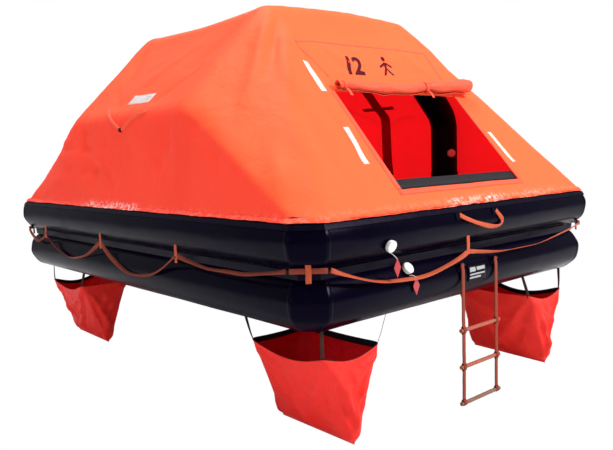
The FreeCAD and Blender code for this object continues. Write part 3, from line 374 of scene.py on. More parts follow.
# Coated cloth: faded colour, weave and creases on a soft sheen, with some light let through, a painted glow,
# and where asked a painted lighter colour on the sides that face the light.
def clothMaterial(name, base, faded, stain, through, share, rough=0.5, threads=700.0, crease=0.25,
                  fine=0.12, size=5.0, marks=None, gloss=0.18, paintedGlow=0.0, paintedSkyLight=None):
    material, tree, output = newMaterial(name)
    link = tree.links.new
    cloth = addNode(tree, "ShaderNodeUVMap", {"uv_map": "cloth"})
    weave = useGroup(tree, "weave", Threads_per_metre=threads, Depth=0.25)
    link(cloth.outputs[0], weave.inputs["Map"])
    creases = useGroup(tree, "creases", Size=size, Depth=crease, Fine_depth=fine)
    link(weave.outputs["Normal"], creases.inputs["Normal"])
    fade = useGroup(tree, "fade", Base=base, Faded=faded, Stain=stain, Amount=0.4, Specks=0.12,
                    Size=size * 0.5)
    colour = fade.outputs["Colour"]
    # painted light: the colour turns to a lighter colour where the point attribute says the cloth faces the
    # light
    if paintedSkyLight:
        high = addNode(tree, "ShaderNodeAttribute", {"attribute_name": "paintedSkyLight"})
        colour = mixColour(tree, high.outputs["Fac"], colour, paintedSkyLight)
    if marks:
        mask = addNode(tree, "ShaderNodeAttribute", {"attribute_name": marks["attribute"]})
        fray = addNode(tree, "ShaderNodeTexNoise", Scale=marks["scale"], Detail=5.0, Roughness=0.75)
        place = addNode(tree, "ShaderNodeTexCoord")
        link(place.outputs["Object"], fray.inputs["Vector"])
        spot = mathNode(tree, "MULTIPLY", mask.outputs["Fac"], ramp(tree, fray.outputs[0], 0.47, 0.56))
        colour = mixColour(tree, spot, colour, marks["colour"])
    skin = addNode(tree, "ShaderNodeBsdfPrincipled", Sheen_Weight=0.03)
    skin.inputs["Specular IOR Level"].default_value = gloss
    feedSkin(tree, skin, colour, fade, creases, rough)
    # painted glow: the cloth gives off light of its translucent colour, as if lit from behind
    skin.inputs["Emission Color"].default_value = (*through, 1.0)
    skin.inputs["Emission Strength"].default_value = paintedGlow
    glow = addNode(tree, "ShaderNodeBsdfTranslucent", Color=(*through, 1.0))
    link(creases.outputs["Normal"], glow.inputs["Normal"])
    mix = addNode(tree, "ShaderNodeMixShader", Fac=share)
    link(skin.outputs[0], mix.inputs[1])
    link(glow.outputs[0], mix.inputs[2])
    link(mix.outputs[0], output.inputs[0])
    return material


# Rubber-coated fabric: near-black with soft gloss, dust in a broad pattern and shallow ripples.
def rubberMaterial(name, base, dust, rough, ripple, gloss=0.055, size=4.0):
    material, tree, output = newMaterial(name)
    link = tree.links.new
    place = addNode(tree, "ShaderNodeTexCoord")
    weave = useGroup(tree, "weave", Threads_per_metre=500.0, Depth=0.12)
    link(place.outputs["Object"], weave.inputs["Map"])
    creases = useGroup(tree, "creases", Size=size, Depth=ripple, Fine_depth=ripple * 0.5)
    link(weave.outputs["Normal"], creases.inputs["Normal"])
    fade = useGroup(tree, "fade", Base=base, Faded=dust, Stain=dust, Amount=0.06, Specks=0.1, Size=size)
    skin = addNode(tree, "ShaderNodeBsdfPrincipled")
    skin.inputs["Specular IOR Level"].default_value = gloss
    skin.inputs["Specular Tint"].default_value = (0.62, 0.52, 0.90, 1.0)
    feedSkin(tree, skin, fade.outputs["Colour"], fade, creases, rough)
    tree.links.new(skin.outputs[0], output.inputs[0])
    return material


# Moulded plastic or painted metal: a little uneven colour and gloss, and small worn specks.
def hardMaterial(name, base, worn, rough, metal=0.0, grain=0.05, coat=0.0, gloss=0.5):
    material, tree, output = newMaterial(name)
    fade = useGroup(tree, "fade", Base=base, Faded=worn, Stain=worn, Amount=0.5, Specks=0.25, Size=18.0)
    creases = useGroup(tree, "creases", Size=90.0, Depth=grain, Fine_depth=grain)
    skin = addNode(tree, "ShaderNodeBsdfPrincipled", Metallic=metal, Coat_Weight=coat)
    skin.inputs["Specular IOR Level"].default_value = gloss
    feedSkin(tree, skin, fade.outputs["Colour"], fade, creases, rough)
    tree.links.new(skin.outputs[0], output.inputs[0])
    return material


orange = (0.92, 0.060, 0.029)
salmon = (0.94, 0.092, 0.040)
# painted light: a lighter orange for the cloth that faces the lamps above the front
paintedLitOrange = (0.95, 0.126, 0.038)
rust = (0.45, 0.050, 0.020)
glueMarks = {"attribute": "glue", "scale": 42.0, "colour": (0.85, 0.70, 0.64)}
webbingWeave = {"threads": 420.0, "crease": 0.1, "fine": 0.3, "size": 30.0}
throughRed = (0.8, 0.1, 0.05)
# the canopy cloth, its inside most, and the pockets give off a painted glow
canopyOutside = clothMaterial("canopyOutside", orange, salmon, rust, (1.0, 0.060, 0.030), 0.16, rough=0.52,
                              marks=glueMarks, gloss=0.08, paintedGlow=0.10, paintedSkyLight=paintedLitOrange, crease=0.5, fine=0.2)
canopyInside = clothMaterial("canopyInside", (0.80, 0.022, 0.030), (0.88, 0.040, 0.045), (0.4, 0.01, 0.02),
                             (1.0, 0.018, 0.026), 0.45, rough=0.55, crease=0.15, paintedGlow=0.55)
curtainCloth = clothMaterial("curtainCloth", (0.93, 0.095, 0.042), salmon, rust, (0.95, 0.10, 0.05), 0.12,
                             crease=0.35, size=14.0)
pocketOutside = clothMaterial("pocketOutside", (0.90, 0.028, 0.020), (0.92, 0.050, 0.032), rust,
                              (1.0, 0.016, 0.016), 0.22, paintedGlow=0.07, crease=0.5, fine=0.25, size=9.0)
pocketInside = clothMaterial("pocketInside", (0.62, 0.003, 0.012), (0.70, 0.008, 0.016), (0.25, 0.0, 0.01),
                             (0.9, 0.01, 0.02), 0.25, rough=0.6, crease=0.4, size=9.0)
# painted shadow: a dark cloth for the sleeve and bar inside the side walls
shadowSleeveCloth = clothMaterial("shadowSleeveCloth", (0.42, 0.006, 0.022), (0.50, 0.01, 0.03), (0.2, 0.0, 0.01),
                            (0.6, 0.01, 0.02), 0.15, rough=0.6, crease=0.2)
orangeWebbing = clothMaterial("orangeWebbing", (0.46, 0.070, 0.026), (0.58, 0.120, 0.055),
                              (0.24, 0.04, 0.02), throughRed, 0.03, rough=0.6, **webbingWeave)
fadedWebbing = clothMaterial("fadedWebbing", (0.24, 0.036, 0.016), (0.17, 0.042, 0.024),
                             (0.10, 0.025, 0.015), throughRed, 0.03, rough=0.65, **webbingWeave)
brownWebbing = clothMaterial("brownWebbing", (0.030, 0.010, 0.007), (0.07, 0.024, 0.014),
                             (0.02, 0.007, 0.006), (0.3, 0.05, 0.03), 0.02, rough=0.65, **webbingWeave)
blackWebbing = clothMaterial("blackWebbing", (0.003, 0.002, 0.005), (0.008, 0.007, 0.010),
                             (0.014, 0.012, 0.012), (0.02, 0.02, 0.02), 0.0, rough=0.6, **webbingWeave)
cordWhite = clothMaterial("cordWhite", (0.70, 0.66, 0.60), (0.55, 0.50, 0.45), (0.3, 0.25, 0.2),
                          (0.7, 0.7, 0.7), 0.0, rough=0.7, threads=1500.0, size=60.0)
tubeRubber = rubberMaterial("tubeRubber", (0.0010, 0.0004, 0.0048), (0.007, 0.005, 0.013), 0.22, 0.05,
                            gloss=0.042)
patchRubber = rubberMaterial("patchRubber", (0.0020, 0.0012, 0.0060), (0.016, 0.013, 0.024), 0.32, 0.08,
                             size=20.0)
# painted light: a bright red base for black tube fabric, standing in for the red light inside the canopy
shadedRubber = rubberMaterial("shadedRubber", (0.98, 0.022, 0.040), (1.0, 0.040, 0.055), 0.45, 0.08,
                              size=20.0)
floorRubber = rubberMaterial("floorRubber", (0.012, 0.012, 0.015), (0.05, 0.048, 0.045), 0.5, 0.1)
tapeFilm = hardMaterial("tapeFilm", (0.90, 0.72, 0.64), (0.80, 0.58, 0.50), 0.28, metal=0.15, grain=0.15,
                        coat=0.4)
patchFilm = hardMaterial("patchFilm", (0.72, 0.62, 0.60), (0.95, 0.90, 0.86), 0.35, metal=0.35, grain=0.5,
                         coat=0.2)
labelFilm = hardMaterial("labelFilm", (0.36, 0.36, 0.38), (0.24, 0.24, 0.26), 0.45)
printInk = hardMaterial("printInk", (0.060, 0.004, 0.008), (0.10, 0.008, 0.012), 0.8, gloss=0.08)
whitePlastic = hardMaterial("whitePlastic", (0.74, 0.74, 0.72), (0.58, 0.57, 0.54), 0.4)
greyPlastic = hardMaterial("greyPlastic", (0.40, 0.40, 0.40), (0.30, 0.29, 0.28), 0.45)
sealRubber = hardMaterial("sealRubber", (0.02, 0.02, 0.02), (0.04, 0.04, 0.04), 0.55)
tagPlastic = hardMaterial("tagPlastic", (0.38, 0.010, 0.018), (0.50, 0.035, 0.042), 0.4, coat=0.12)
greyPaint = hardMaterial("greyPaint", (0.30, 0.32, 0.33), (0.18, 0.18, 0.18), 0.35, coat=0.4)
brass = hardMaterial("brass", (0.62, 0.42, 0.15), (0.40, 0.26, 0.10), 0.3, metal=1.0)
rungSleeve = hardMaterial("rungSleeve", (0.40, 0.075, 0.034), (0.26, 0.075, 0.045), 0.55, grain=0.3)
rungWorn = hardMaterial("rungWorn", (0.20, 0.085, 0.055), (0.30, 0.15, 0.10), 0.55, grain=0.3)
print("materials made")


# The CAD solids that keep their shape get their material here.
def dressNodes(material, slotName, *names):
    for name in names:
        mesh = nodes[name].data
        mesh.materials.clear()
        mesh.materials.append(material)


# Several ribbons as one piece that stands for a CAD node.
def addWebbing(name, ribbons, material, node, body="raft"):
    points, faces, uv = joined(ribbons)
    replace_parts(makePiece(name, points, faces, material, body=body, uv=uv), node)


# Closed seams and a cloth thickness, with the piece's second material on the inside.
def addShell(piece, weld, thickness):
    piece.modifiers.new("seams", "WELD").merge_threshold = weld
    shell = piece.modifiers.new("cloth", "SOLIDIFY")
    shell.thickness = thickness
    shell.offset = -1.0
    shell.material_offset = 1
    shell.material_offset_rim = 0


# Cords: a short lanyard from each valve flange to its tag

lanyard = {"diameter": 0.003, "lengths": {"inflation": 0.062, "relief": 0.043}}
lanyardRoutes = {
    "inflation": [(-0.7350, -1.7073, 0.3398), (-0.7190, -1.7340, 0.3278), (-0.7000, -1.7370, 0.3015)],
    "relief": [(-0.5600, -1.6883, 0.1988), (-0.5480, -1.7050, 0.2048), (-0.5300, -1.7060, 0.1855)]}


# A curve of one open NURBS spline through given control points.
def cordCurve(name, points, diameter, material):
    curve = bpy.data.curves.new(name, "CURVE")
    curve.dimensions = "3D"
    curve.bevel_depth = diameter / 2
    curve.bevel_resolution = 3
    curve.resolution_u = 12
    curve.use_fill_caps = True
    spline = curve.splines.new("NURBS")
    spline.points.add(len(points) - 1)
    for place, point in zip(points, spline.points):
        point.co = (*place, 1.0)
    spline.order_u = 3
    spline.use_endpoint_u = True
    curve.materials.append(material)
    obj = bpy.data.objects.new(name, curve)
    bpy.context.scene.collection.objects.link(obj)
    return obj


# Each cord follows its own route and hangs from its flange.
def addLanyards():
    dressNodes(tagPlastic, "tag_red", "inflation_valve_tag", "relief_valve_tag")
    for name, length in lanyard["lengths"].items():
        route = lanyardRoutes[name]
        obj = cordCurve(name + "Lanyard", route, lanyard["diameter"], cordWhite)
        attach(obj, "raft")
        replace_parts(obj, name + "_valve_lanyard")


addLanyards()
print("cords made")

# Buoyancy tubes


# The mean of two values.
def middleOf(low, high):
    return (low + high) / 2


upperLow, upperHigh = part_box("upper_buoyancy_tube")
lowerLow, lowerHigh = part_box("lower_buoyancy_tube")
tubeRadius = (lowerHigh.z - lowerLow.z) / 2
hull = {"cornerCut": 0.037, "around": 72, "upperZ": middleOf(upperLow.z, upperHigh.z),
        "lowerZ": middleOf(lowerLow.z, lowerHigh.z),
        "upperHalf": (upperHigh.x - tubeRadius, upperHigh.y - tubeRadius),
        "lowerHalf": (lowerHigh.x - tubeRadius, lowerHigh.y - tubeRadius)}
# tape over each mitre, the pinch along it, and what the skin's ripples add
seam = {"width": 0.042, "rise": 0.0009, "pinch": 0.0016, "pinchWidth": 0.006, "ripple": 0.0010,
        "pucker": 0.0016, "puckerReach": 0.16, "sink": 0.0012,
        "rows": (0, 0.004, 0.010, 0.016, 0.020, 0.0215, 0.026, 0.04, 0.06, 0.09), "plainRows": 90,
        "plainFrom": 0.12, "cornerRows": 13}


# Corner points of a ring's centre line: an oblong whose corners are cut at 45 degrees.
def ringCorners(half, z):
    a, b, c = half[0], half[1], hull["cornerCut"]
    plan = [(-a + c, -b), (a - c, -b), (a, -b + c), (a, b - c),
            (a - c, b), (-a + c, b), (-a, b - c), (-a, -b + c)]
    return np.array([(x, y, z) for x, y in plan])


# Rows along each run of the ring lie on straight lines between the two mitre planes at its ends.
def addTube(which, seed):
    half, z, radius = hull[which + "Half"], hull[which + "Z"], tubeRadius
    corners = ringCorners(half, z)
    count = len(corners)
    phi = np.linspace(0, 2 * math.pi, hull["around"], endpoint=False)
    ends = []
    for k in range(count):
        before = unit(corners[k] - corners[k - 1])
        after = unit(corners[(k + 1) % count] - corners[k])
        outward = unit(np.array([before[1], -before[0], 0]) + np.array([after[1], -after[0], 0]))
        stretch = 1 / math.cos(math.acos(np.clip(before @ after, -1, 1)) / 2)
        ends.append(corners[k] + radius * (np.cos(phi)[:, None] * outward * stretch
                                           + np.sin(phi)[:, None] * np.array([0, 0, 1.0])))
    rows, alongs, edges = [], [], []
    travelled = 0.0
    near = np.array(seam["rows"])
    for k in range(count):
        run = float(lengths(corners[(k + 1) % count] - corners[k])[0])
        if run > 2 * hull["cornerCut"]:
            inner = np.linspace(seam["plainFrom"], run - seam["plainFrom"], seam["plainRows"])
            places = np.concatenate([near, inner, run - near[::-1]])[:-1]
        else:
            places = np.linspace(0, run, seam["cornerRows"])[:-1]
        for s in places:
            share = s / run
            rows.append(ends[k] * (1 - share) + ends[(k + 1) % count] * share)
            alongs.append(travelled + s)
            edges.append(min(s, run - s))
        travelled += run
    p, along, edge = np.array(rows), np.array(alongs), np.array(edges)
    axis = p.mean(axis=1, keepdims=True)
    outward = unit(p - axis)
    tape = 1 - ease(edge, seam["width"] / 2 - 0.001, seam["width"] / 2)
    crease = np.exp(-(edge / seam["pinchWidth"]) ** 2)
    angle = phi[None, :]
    ripple = waves(along[:, None] + 0 * angle, angle * radius, 1.1, seed) * seam["ripple"]
    near = np.exp(-(edge[:, None] / seam["puckerReach"]) ** 2)
    pucker = np.sin(angle * 9 + along[:, None] * 3) * near * seam["pucker"]
    lift = tape[:, None] * seam["rise"] - crease[:, None] * seam["pinch"] + ripple + pucker
    p = p + outward * (lift - seam["sink"])[..., None]
    uv = np.stack([np.repeat(along, len(phi)), np.tile(phi * radius, len(along))], axis=-1)
    piece = makePiece(which + "Tube", p, gridQuads(len(along), len(phi), True, True), tubeRubber,
                      uv=uv)
    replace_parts(piece, which + "_buoyancy_tube")


addTube("upper", 11)
addTube("lower", 12)
# painted light: the black rear arch, seen through the entrance, is painted the red of the light inside the
# canopy
dressNodes(shadedRubber, "tube_fabric", "arch_tube_rear")
dressNodes(patchRubber, "tube_fabric", "arch_tube_front", "arch_foot_cuffs", "valve_flanges",
           "boarding_handle_patches", "inner_valley_web", "outer_valley_web", "ladder_anchors")
dressNodes(floorRubber, "floor_fabric", "raft_floor")
print("tubes made")

# Canopy skin

canopyLow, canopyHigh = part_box("canopy")
tent = {"roof": (0.585, 0.700), "knee": (1.180, 1.060), "door": (0.520, 0.612, 1.128), "lap": 0.008,
        "footCut": 0.095, "softness": 75.0, "thickness": 0.0022, "foldGain": 2.5,
        "step": 0.021, "hipCols": 21, "cutCols": 6, "doorCols": 20}
# how far the cloth stands out over its supports and in between them, and its ripples
give = {"ridge": 0.022, "arch": 0.006, "wall": 0.014, "slant": 0.012, "roof": 0.016, "slope": 0.004,
        "ripple": 0.0032, "fine": 0.0010, "foot": 0.0030, "knee": 0.002, "seam": 0.0012}
archY = 0.655
tent["roofZ"] = canopyHigh.z
tent["footX"], tent["footY"], tent["footZ"] = canopyHigh.x, canopyHigh.y, canopyLow.z + tent["lap"]


# The four corner places of one quarter of the tent: roof corner, knee, side foot and end foot.
def tentCorners(sx, sy):
    footX, footY, footZ, cut = tent["footX"], tent["footY"], tent["footZ"], tent["footCut"]
    roof = np.array([sx * tent["roof"][0], sy * tent["roof"][1], tent["roofZ"]])
    knee = np.array([sx * tent["knee"][0], sy * tent["roof"][1], tent["knee"][1]])
    side = np.array([sx * footX, sy * (footY - cut), footZ])
    end = np.array([sx * (footX - cut), sy * footY, footZ])
    return roof, knee, side, end


# The plane through three points: its outward normal and its distance from the origin.
def facePlane(a, b, c):
    normal = unit(np.cross(b - a, c - a))
    if normal @ (a - np.array([0, 0, 0.4])) < 0:
        normal = -normal
    return normal, float(normal @ a)


# All planes of the tent. The walls and slants of one half are mirrored from the other.
def tentPlanes():
    planes = [(np.array([0, 0, 1.0]), tent["roofZ"])]
    mirrorX, mirrorY = np.array([-1, 1, 1.0]), np.array([1, -1, 1.0])
    for sx in (-1, 1):
        for sy in (-1, 1):
            roof, knee, side, end = tentCorners(sx, sy)
            planes.append(facePlane(roof, knee, side))
            planes.append(facePlane(roof, side, end))
            if sy < 0:
                planes.append(facePlane(roof, knee, roof * mirrorY))
                planes.append(facePlane(knee, side, knee * mirrorY))
            if sx < 0:
                planes.append(facePlane(roof, end, roof * mirrorX))
    return np.array([n for n, d in planes]), np.array([d for n, d in planes])


planeNormals, planeOffsets = tentPlanes()


# The rounded tent: the softened greatest distance outside the planes, and its slope.
def tentField(p):
    far = (p @ planeNormals.T - planeOffsets) * tent["softness"]
    top = far.max(axis=1, keepdims=True)
    weight = np.exp(far - top)
    total = weight.sum(axis=1, keepdims=True)
    value = (top + np.log(total)) / tent["softness"]
    return value, unit((weight / total) @ planeNormals)


# How far a point lies along and beside the line from a to b.
def besideLine(p, a, b):
    a, b = np.asarray(a, float), np.asarray(b, float)
    run = b - a
    along = ((p - a) @ run) / (run @ run)
    nearest = a + np.clip(along, 0, 1)[:, None] * run
    return along, lengths(p - nearest)[:, 0]


# A fold along a line: a bell across it that fades at both ends; negative depth is a valley.
def fold(p, a, b, width, depth):
    along, beside = besideLine(p, a, b)
    fade = ease(along, -0.08, 0.25) * (1 - ease(along, 0.7, 1.08))
    return depth * np.exp(-(beside / width) ** 2) * fade


# Folds of the cloth, as start, end, half width and depth in metres; negative depth is a valley.
tensionFolds = [
    ((-0.56, -0.77, 1.58), (-1.03, -1.18, 1.10), 0.045, -0.013),
    ((-0.60, -0.75, 1.60), (-1.12, -1.10, 0.98), 0.050, 0.010),
    ((-0.54, -0.79, 1.56), (-0.86, -1.22, 1.02), 0.050, 0.007),
    ((-0.50, -0.80, 1.54), (-0.66, -1.22, 1.00), 0.035, -0.006),
    ((-1.03, -1.18, 1.10), (-1.17, -1.50, 0.62), 0.060, 0.010),
    ((-1.15, -0.74, 1.02), (-1.16, -1.10, 0.72), 0.050, -0.010),
    ((-1.16, -0.66, 1.00), (-1.18, -0.30, 0.70), 0.060, -0.008),
    ((-1.16, -0.62, 1.02), (-1.19, -0.62, 0.60), 0.050, 0.006),
    ((-1.15, 0.66, 1.02), (-1.19, 0.30, 0.66), 0.070, -0.008),
    ((-1.17, 0.95, 0.86), (-1.19, 0.10, 0.80), 0.035, 0.006),
    ((-1.18, 0.85, 0.76), (-1.19, 0.30, 0.72), 0.030, -0.005),
    ((-0.60, -0.62, 1.62), (-0.98, -0.35, 1.25), 0.060, -0.007),
    ((-0.62, 0.62, 1.62), (-1.02, 0.30, 1.20), 0.060, -0.007),
    ((0.56, -0.77, 1.58), (1.03, -1.18, 1.10), 0.050, -0.010),
    ((0.60, -0.75, 1.60), (1.12, -1.12, 0.95), 0.055, 0.010),
    ((-0.60, -1.42, 0.80), (-0.95, -1.62, 0.56), 0.045, -0.006),
    ((-0.56, -1.50, 0.70), (-0.72, -1.64, 0.54), 0.030, 0.005),
    ((0.56, -1.48, 0.72), (0.80, -1.64, 0.54), 0.035, 0.006),
    ((-1.20, 1.50, 0.58), (-1.18, 0.90, 0.93), 0.100, -0.009),
    ((-1.18, 0.98, 0.98), (-1.18, 0.30, 0.99), 0.022, -0.006),
    ((-1.18, 1.02, 0.90), (-1.18, 0.36, 0.87), 0.024, -0.005),
    ((-1.18, 1.10, 0.84), (-1.18, 0.20, 0.83), 0.020, 0.004),
    ((-1.19, 1.15, 0.67), (-1.19, 0.25, 0.70), 0.030, 0.005),
    ((-1.17, 0.30, 0.84), (-1.19, 0.08, 0.60), 0.030, -0.005),
    ((-1.17, -0.10, 0.96), (-1.19, -0.55, 0.62), 0.045, 0.005),
    ((-0.95, 0.50, 1.28), (-1.13, 0.10, 1.10), 0.030, -0.005),
    ((-0.90, -0.55, 1.32), (-1.12, -0.25, 1.11), 0.035, -0.006),
    ((-0.70, -0.30, 1.53), (-1.00, 0.15, 1.22), 0.050, 0.004),
    ((-0.58, -0.90, 1.42), (-0.62, -1.45, 0.80), 0.040, 0.004),
    ((-0.80, -1.05, 1.24), (-0.86, -1.58, 0.64), 0.050, -0.005),
    ((-0.44, -1.02, 1.26), (0.52, -1.02, 1.27), 0.020, -0.004),
    ((-0.40, -0.90, 1.42), (-0.16, -1.06, 1.24), 0.040, 0.004),
    ((0.30, -0.90, 1.42), (0.44, -1.06, 1.24), 0.040, 0.004)]


# Height of the cloth over the rounded tent: bulges between supports, sewn edges, tension folds and ripples.
def clothLift(p):
    x, y, z = p[:, 0], p[:, 1], p[:, 2]
    side, end = np.abs(x), np.abs(y)
    onSlope = ease(end, 0.70, 0.80) * (1 - ease(side, 1.05, 1.18))
    roofHalf = tent["roof"][0]
    ridge = np.exp(-((end - 0.70) / 0.10) ** 2) * ease(z, 1.45, 1.62)
    ridge = ridge * (1 - (np.minimum(side, roofHalf) / roofHalf) ** 2)
    archBand = np.exp(-((end - archY) / 0.075) ** 2) * ease(z, 0.70, 1.0) * ease(side, 0.5, 0.6)
    wallSag = ease(side, 1.12, 1.17) * np.sin(np.clip((z - 0.52) / 0.54, 0, 1) * math.pi)
    wallSag = wallSag * (1 - (end / 1.3) ** 2)
    between = 1 - np.clip(end / 0.62, 0, 1) ** 2
    slantSag = ease(z, 1.08, 1.16) * ease(side, 0.60, 0.70) * between
    roofSag = ease(z, 1.60, 1.64) * between
    slopeSag = onSlope * np.sin(np.clip((z - 0.52) / 1.13, 0, 1) * math.pi)
    lift = give["ridge"] * ridge + give["arch"] * archBand - give["wall"] * np.clip(wallSag, 0, 1)
    lift = lift - give["slant"] * slantSag
    lift = lift - give["roof"] * roofSag - give["slope"] * slopeSag
    for a, b, width, depth in tensionFolds:
        lift = lift + fold(p, a, b, width, depth * tent["foldGain"])
    overArch = np.exp(-((end - archY) / 0.125) ** 6) * ease(side, 0.5, 0.56)
    lift = np.maximum(lift, -0.003 - 0.08 * (1 - overArch))  # the arch holds the cloth up
    flat = np.where(side > 1.0, y, x)
    lift = lift + give["ripple"] * waves(flat, z + 0.35 * end, 1.6, 3)
    lift = lift + give["fine"] * waves(flat * 1.3, z, 6.5, 5)
    foot = np.exp(-((z - tent["footZ"]) / 0.045) ** 2)
    lift = lift + foot * give["foot"] * np.sin((x + y) * 47 + 2 * np.sin((x - y) * 13))
    knee = np.exp(-((z - 1.045) / 0.012) ** 2) * ease(side, 1.1, 1.15)
    seamLine = np.exp(-((end - 0.745) / 0.006) ** 2) * (1 - ease(side, 0.9, 1.2))
    hold = ease(np.abs(side - tent["door"][0]), 0.0, 0.03) + ease(np.abs(z - 0.87), 0.24, 0.29)
    lift = lift * np.clip(hold + (1 - onSlope), 0.25, 1)
    return lift - give["knee"] * knee - give["seam"] * seamLine


# Any place near the tent as its place on the cloth's outside, and the outward direction there.
def onCanopy(points, lift=0.0):
    p = np.asarray(points, float).reshape(-1, 3).copy()
    for _ in range(5):
        value, normal = tentField(p)
        p = p - normal * value
    normal = tentField(p)[1]
    return p + normal * (clothLift(p) + np.asarray(lift).ravel())[:, None], normal


# Even steps between set stops, so that grid lines fall on the stops.
def stops(places, step):
    out = [places[0]]
    for a, b in zip(places, places[1:]):
        count = max(2, int(round(abs(b - a) / step)))
        out += list(np.linspace(a, b, count + 1)[1:])
    return np.array(out)


# Flat panels of the tent as grids whose rows share the same heights, so that neighbours meet.
def canopyPanels():
    step = tent["step"]
    doorHalf, sill, head = tent["door"]
    heights = stops([tent["roofZ"], head, tent["knee"][1], sill, tent["footZ"]], step)
    kneeRow = int(np.argmin(np.abs(heights - tent["knee"][1])))
    panels, doorCells = [], []
    sides = np.linspace(-1, 1, 2 * int(tent["footY"] / step / 1.6) + 1)

    # rows of points from a to b
    def between(a, b, share):
        return a + (b - a) * share[:, None]

    # where the line from a to b has height z
    def atHeight(a, b, z):
        share = (a[2] - z) / (a[2] - b[2])
        return a + (b - a) * share

    # a row from front to back where two lines reach height z
    def acrossSide(a, b, c, d, z):
        return between(atHeight(a, b, z), atHeight(c, d, z), (sides + 1) / 2)

    for sx in (-1, 1):
        front, back = tentCorners(sx, -1), tentCorners(sx, 1)
        slant = [acrossSide(front[0], front[1], back[0], back[1], z) for z in heights[:kneeRow + 1]]
        wall = [acrossSide(front[1], front[2], back[1], back[2], z) for z in heights[kneeRow:]]
        panels += [(np.array(slant), sx > 0), (np.array(wall), sx > 0)]
        for sy in (-1, 1):
            roof, knee, side, end = tentCorners(sx, sy)
            outer = [atHeight(roof, knee, z) if z >= tent["knee"][1] else atHeight(knee, side, z)
                     for z in heights]
            mid = [atHeight(roof, side, z) for z in heights]
            inner = [atHeight(roof, end, z) for z in heights]
            for edges, cols in ((zip(outer, mid), tent["hipCols"]), (zip(mid, inner), tent["cutCols"])):
                share = np.linspace(0, 1, cols)
                panels.append((np.array([between(a, b, share) for a, b in edges]), sx * sy > 0))
    for sy in (-1, 1):
        left, right = tentCorners(-1, sy), tentCorners(1, sy)
        centre = stops([-doorHalf, doorHalf], step)
        rows = []
        for z in heights:
            a, b = atHeight(left[0], left[3], z), atHeight(right[0], right[3], z)
            x = np.concatenate([np.linspace(a[0], -doorHalf, tent["doorCols"])[:-1], centre,
                                np.linspace(doorHalf, b[0], tent["doorCols"])[1:]])
            rows.append(np.stack([x, np.full(len(x), a[1]), np.full(len(x), z)], axis=-1))
        panels.append((np.array(rows), sy < 0))
        if sy < 0:
            inDoor = np.zeros((len(heights) - 1, len(rows[0]) - 1), bool)
            middleX = (rows[0][1:, 0] + rows[0][:-1, 0]) / 2
            middleZ = (heights[1:] + heights[:-1]) / 2
            inDoor[np.ix_((middleZ < head) & (middleZ > sill), np.abs(middleX) < doorHalf)] = True
            doorCells = [len(panels) - 1, inDoor]
        else:
            roofX = rows[0][:, 0]
    ys = tent["roof"][1] * sides
    top = np.array([[(x, y, tent["roofZ"]) for x in roofX] for y in ys])
    panels.append((top, False))
    return panels, doorCells


# Where old glue shows: a stretch of the left wall and three of the front, each fading at its ends.
def glueSpread(x, y, ends, corner):
    left = (x < -1.1) * ease(y, ends[0], ends[1]) * (1 - ease(y, ends[2], ends[3]))
    front = (y < -1.55) * (np.exp(-((x - 0.10) / 0.12) ** 2) + np.exp(-((x + 0.14) / 0.10) ** 2) * 0.8
                           + corner * np.exp(-((x - 0.55) / 0.2) ** 2))
    return left + front


# All panels but the entrance laid on the tent as one cloth, with painted light: the more a place faces up and
# to the front, the more it is painted a lighter orange.
def addCanopy():
    panels, (doorPanel, inDoor) = canopyPanels()
    points, faces, uvs, start = [], [], [], 0
    for k, (grid, flip) in enumerate(panels):
        rows, cols = grid.shape[:2]
        quads = gridQuads(rows, cols)
        if k == doorPanel:
            quads = quads[~inDoor.ravel()]
        if flip:
            quads = quads[:, ::-1]
        flat = grid.reshape(-1, 3)
        across = np.where(np.abs(np.ptp(flat[:, 0])) > 0.9, flat[:, 0], flat[:, 1])
        down = np.concatenate([[0], np.cumsum(lengths(np.diff(grid[:, cols // 2], axis=0))[:, 0])])
        uvs.append(np.stack([across, np.repeat(down, cols)], axis=-1))
        points.append(flat)
        faces.append(quads + start)
        start += len(flat)
    points = np.concatenate(points)
    placed, normal = onCanopy(points)
    piece = makePiece("canopySkin", placed, np.concatenate(faces), [canopyOutside, canopyInside],
                      uv=np.concatenate(uvs))
    x, y, z = points.T
    nearFoot = np.exp(-((z - tent["footZ"] - 0.012) / 0.016) ** 2)
    # painted light: how far each point faces the light from above the front
    facingLight = normal @ np.array([0.10, -0.62, 0.78])
    setAttribute(piece, "paintedSkyLight", np.clip(ease(facingLight, 0.10, 0.75), 0, 1))
    spread = glueSpread(x, y, (-0.25, -0.10, 0.40, 0.55), 0.35) + 0.10 * ((x < -1.1) | (y < -1.55))
    setAttribute(piece, "glue", np.clip(nearFoot * spread, 0, 1))
    addShell(piece, 0.0004, tent["thickness"])
    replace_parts(piece, "canopy")


addCanopy()
print("canopy made")

# Strips and patches that lie on the canopy cloth


